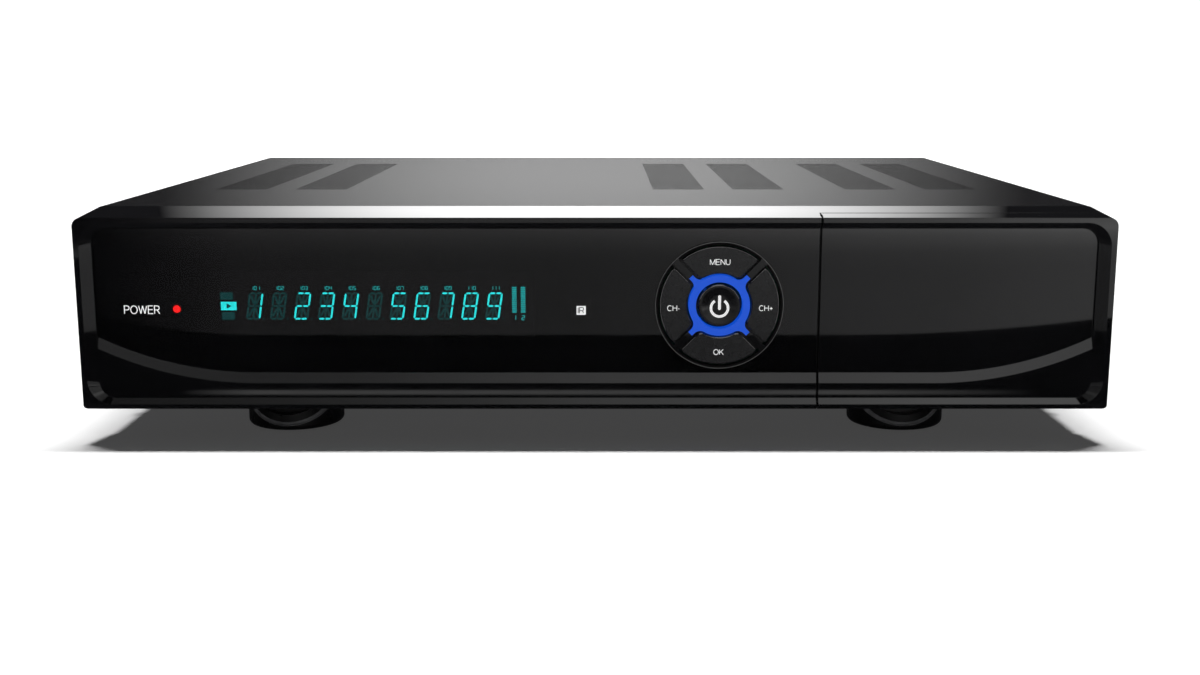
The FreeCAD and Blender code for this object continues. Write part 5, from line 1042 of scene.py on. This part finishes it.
class RECEIVER_OT_stage(Operator):
    """Lays the floor, hangs the lamp and the reflection cards, and sets up the camera"""

    bl_idname = "receiver.stage"
    bl_label = "Studio"

    def execute(self, context):
        scene = context.scene
        scene.view_settings.view_transform = "Standard"
        self.floor_and_wall()
        self.lamp(scene)
        self.cards()
        self.camera(scene)
        world = bpy.data.worlds.new("studio")
        world.use_nodes = True
        world.node_tree.nodes["Background"].inputs["Color"].default_value = (0.012, 0.012, 0.013, 1)
        scene.world = world
        return {"FINISHED"}

    def floor_and_wall(self):
        """The floor is rings by angle, flat; the dome over it is elevation by angle of a sphere. The
        floor's own glow is a faint painted light near the middle that lifts the shadow under the receiver,
        and grows with distance, to make up for the lamp's falling off."""
        look = settings().stage
        turn = np.linspace(0, 2 * math.pi, 65)[:-1][None, :]
        radius, dome_radius, just_under = np.array([0.0001, 0.3, 1, 2, 4, 8])[:, None], 7.9, -1e-5
        rings = np.stack(np.broadcast_arrays(np.cos(turn) * radius, np.sin(turn) * radius, just_under),
                         axis=-1)
        finish = Finish("floor white", tuple(look.floor_colour), 0.9)
        finish.tint(finish.remap(finish.noise(0.05), 0, 1), scaled(look.floor_colour, 0.985))
        finish.set("Specular IOR Level", 0.0)
        finish.set("Emission Color", (1, 1, 1, 1))
        length = finish.node("VectorMath", operation="LENGTH")
        finish.link(finish.coordinates, length.inputs[0])
        ramp = finish.remap(length.outputs["Value"], 0.05, 0.9, 0.5, 3.5)
        finish.link(ramp, finish.shader.inputs["Emission Strength"])
        floor_mesh = grid_mesh("floor", rings[None], wrap_columns=True, flip=True)
        floor = self.shown("floor", floor_mesh, finish.material)
        floor.visible_glossy = False
        lift = np.linspace(0, math.pi / 2, 17)[:, None]
        dome = dome_radius * np.stack(np.broadcast_arrays(
            np.cos(lift) * np.cos(turn), np.cos(lift) * np.sin(turn), np.sin(lift)), axis=-1)
        glow = glowing("wall white", (1, 1, 1), 0.985, 0.5, 0.99)
        wall = self.shown("wall", grid_mesh("wall", dome[None], wrap_columns=True), glow)
        wall.visible_glossy = wall.visible_diffuse = wall.visible_shadow = False
        wall.visible_transmission = False

    def shown(self, name, mesh, material):
        mesh.materials.append(material)
        made = bpy.data.objects.new(name, mesh)
        bpy.context.scene.collection.objects.link(made)
        return made

    def lamp(self, scene):
        """One long soft lamp high above, a little behind the front, gives the short dark shadow."""
        light = bpy.data.lights.new("long lamp", "AREA")
        light.shape, light.size, light.size_y = "RECTANGLE", 3.0, 0.3
        light.energy = settings().stage.lamp_power
        lamp = bpy.data.objects.new("long lamp", light)
        lamp.location = (0, 0.74, 6.0)
        lamp.visible_camera = False
        scene.collection.objects.link(lamp)

    def cards(self):
        """Cards for the gloss: behind for the cover and its sloped band, low in front for the flats
        of the front with a dark flag under them, higher in front for the bevels and the curved
        lower band, and large faint ones all round for the other sides."""
        upright_card("front floor", (-0.552, 0.655), -1.2, (-0.163, -0.02), 1.63, smooth=False,
                     lifts=((0.15, 0, 0.17), (0.68, 0.88, 0.1)),
                     sideways=((0, 0), (0.037, 0.03), (0.092, 0.12), (0.142, 0.24), (0.248, 0.3),
                               (0.459, 0.38), (0.67, 0.62), (0.775, 0.75), (0.89, 1), (1, 1)),
                     upright=((0, 0.435), (0.49, 0.435), (0.62, 0.5), (0.7, 0.68), (0.75, 0.8),
                              (0.79, 1), (0.86, 0.84), (1, 0.8)))
        upright_card("front line", (-0.45, 0.47), -1.19, (-0.2262, -0.2214), 1.0, smooth=False,
                     sideways=((0, 0), (0.08, 1), (0.8, 1), (1, 0)), upright=((0, 1), (1, 1)))
        upright_card("front flag", (-0.9, 0.9), -1.21, (-0.28, -0.08), 0.0)
        level_card("front deep", (-2.2, 2.2), (-3.6, -1.22), -0.35, 0.4)
        level_card("front far", (-1.6, 1.6), (-4.0, -1.24), -0.001, 0.6)
        upright_card("front card", (-0.5, 0.55), -1.2, (0.0, 0.9), 1.2, smooth=False,
                     sideways=((0, 0), (0.05, 0.1), (0.12, 0.3), (0.24, 0.38), (0.354, 0.57), (0.476, 0.72),
                               (0.6, 0.8), (0.72, 0.87), (0.79, 0.95), (0.9, 1), (1, 0.6)),
                     upright=((0, 0), (0.03, 0.5), (0.33, 0.5), (0.41, 1), (0.5, 1), (0.58, 0.5), (1, 0.3)))
        level_card("front high card", (-0.62, 0.62), (-0.78, -0.54), 0.9, 1.6, smooth=False,
                   sideways=((0, 0), (0.1, 0.13), (0.21, 0.18), (0.306, 0.26), (0.403, 0.37), (0.5, 0.56),
                             (0.6, 0.67), (0.69, 0.78), (0.79, 0.98), (0.95, 0.95), (1, 0.5)),
                   upright=((0, 0), (0.2, 1), (0.8, 1), (1, 0)))
        upright_card("back high card", (-0.694, 0.6456), 1.5, (0.62, 1.12), 4.7, smooth=False,
                     sideways=hump(0.42, 0.6, 1.3, 1.25), upright=BELL)
        upright_card("back low card", (-0.64, 0.63), 1.5, (0.12, 0.34), 1.25, smooth=False,
                     sideways=hump(0.46, 0.54, 1.35, 1.4), upright=BELL)
        level_card("floor behind", (-1.8, 1.8), (0.28, 2.6), -0.001, 0.5)
        level_card("floor left", (-2.6, -0.5), (-0.9, 1.4), -0.001, 0.45)
        level_card("floor right", (0.5, 2.6), (-0.9, 1.4), -0.001, 0.45)
        level_card("overhead", (-1.2, 1.2), (-0.15, 1.4), 2.6, 0.5)
        upright_card("back top card", (-1.2, 1.2), 2.2, (1.6, 3.2), 1.6)
        for name, x in (("side card left", -2.5), ("side card right", 2.5)):
            card(name, [(x, y, z) for z in (0.3, 2.2) for y in (-0.9, 1.5)], 0.9)
        level_card("overhead front", (-1.0, 1.0), (-0.8, -0.2), 2.5, 4.0)

    def camera(self, scene):
        look = settings().stage
        data = bpy.data.cameras.new("camera")
        data.lens, data.sensor_width = look.camera_lens, 36.0
        data.clip_start, data.clip_end = 0.01, 50.0
        camera = bpy.data.objects.new("camera", data)
        camera.matrix_world = (Matrix.Translation(look.camera_place)
                               @ Matrix.Rotation(math.pi / 2 - look.camera_pitch, 4, "X"))
        scene.collection.objects.link(camera)
        scene.camera = camera


OPERATORS = (
    RECEIVER_OT_cover, RECEIVER_OT_front, RECEIVER_OT_key_pad, RECEIVER_OT_display, RECEIVER_OT_feet,
    RECEIVER_OT_sockets, RECEIVER_OT_inside, RECEIVER_OT_stage,
)


class RECEIVER_PT_panel(Panel):
    """Lists the receiver's pieces and its studio"""

    bl_idname = "RECEIVER_PT_panel"
    bl_label = "Receiver"
    bl_space_type = "VIEW_3D"
    bl_region_type = "UI"
    bl_category = "Receiver"

    def draw(self, context):
        for group in ("cover", "front", "pad", "display", "stage"):
            box = self.layout.box()
            values = getattr(context.scene.receiver_settings, group)
            for name in values.__annotations__:
                box.prop(values, name)
        for operator in OPERATORS:
            self.layout.operator(operator.bl_idname)


CLASSES = (CoverSettings, FrontSettings, PadSettings, DisplaySettings, StageSettings, ReceiverSettings,
           *OPERATORS, RECEIVER_PT_panel)


def register():
    for made in CLASSES:
        bpy.utils.register_class(made)
    bpy.types.Scene.receiver_settings = PointerProperty(type=ReceiverSettings)


def unregister():
    del bpy.types.Scene.receiver_settings
    for made in reversed(CLASSES):
        bpy.utils.unregister_class(made)


def main():
    register()
    for operator in OPERATORS:
        getattr(bpy.ops.receiver, operator.bl_idname.split(".")[1])()


if __name__ == "__main__":
    main()
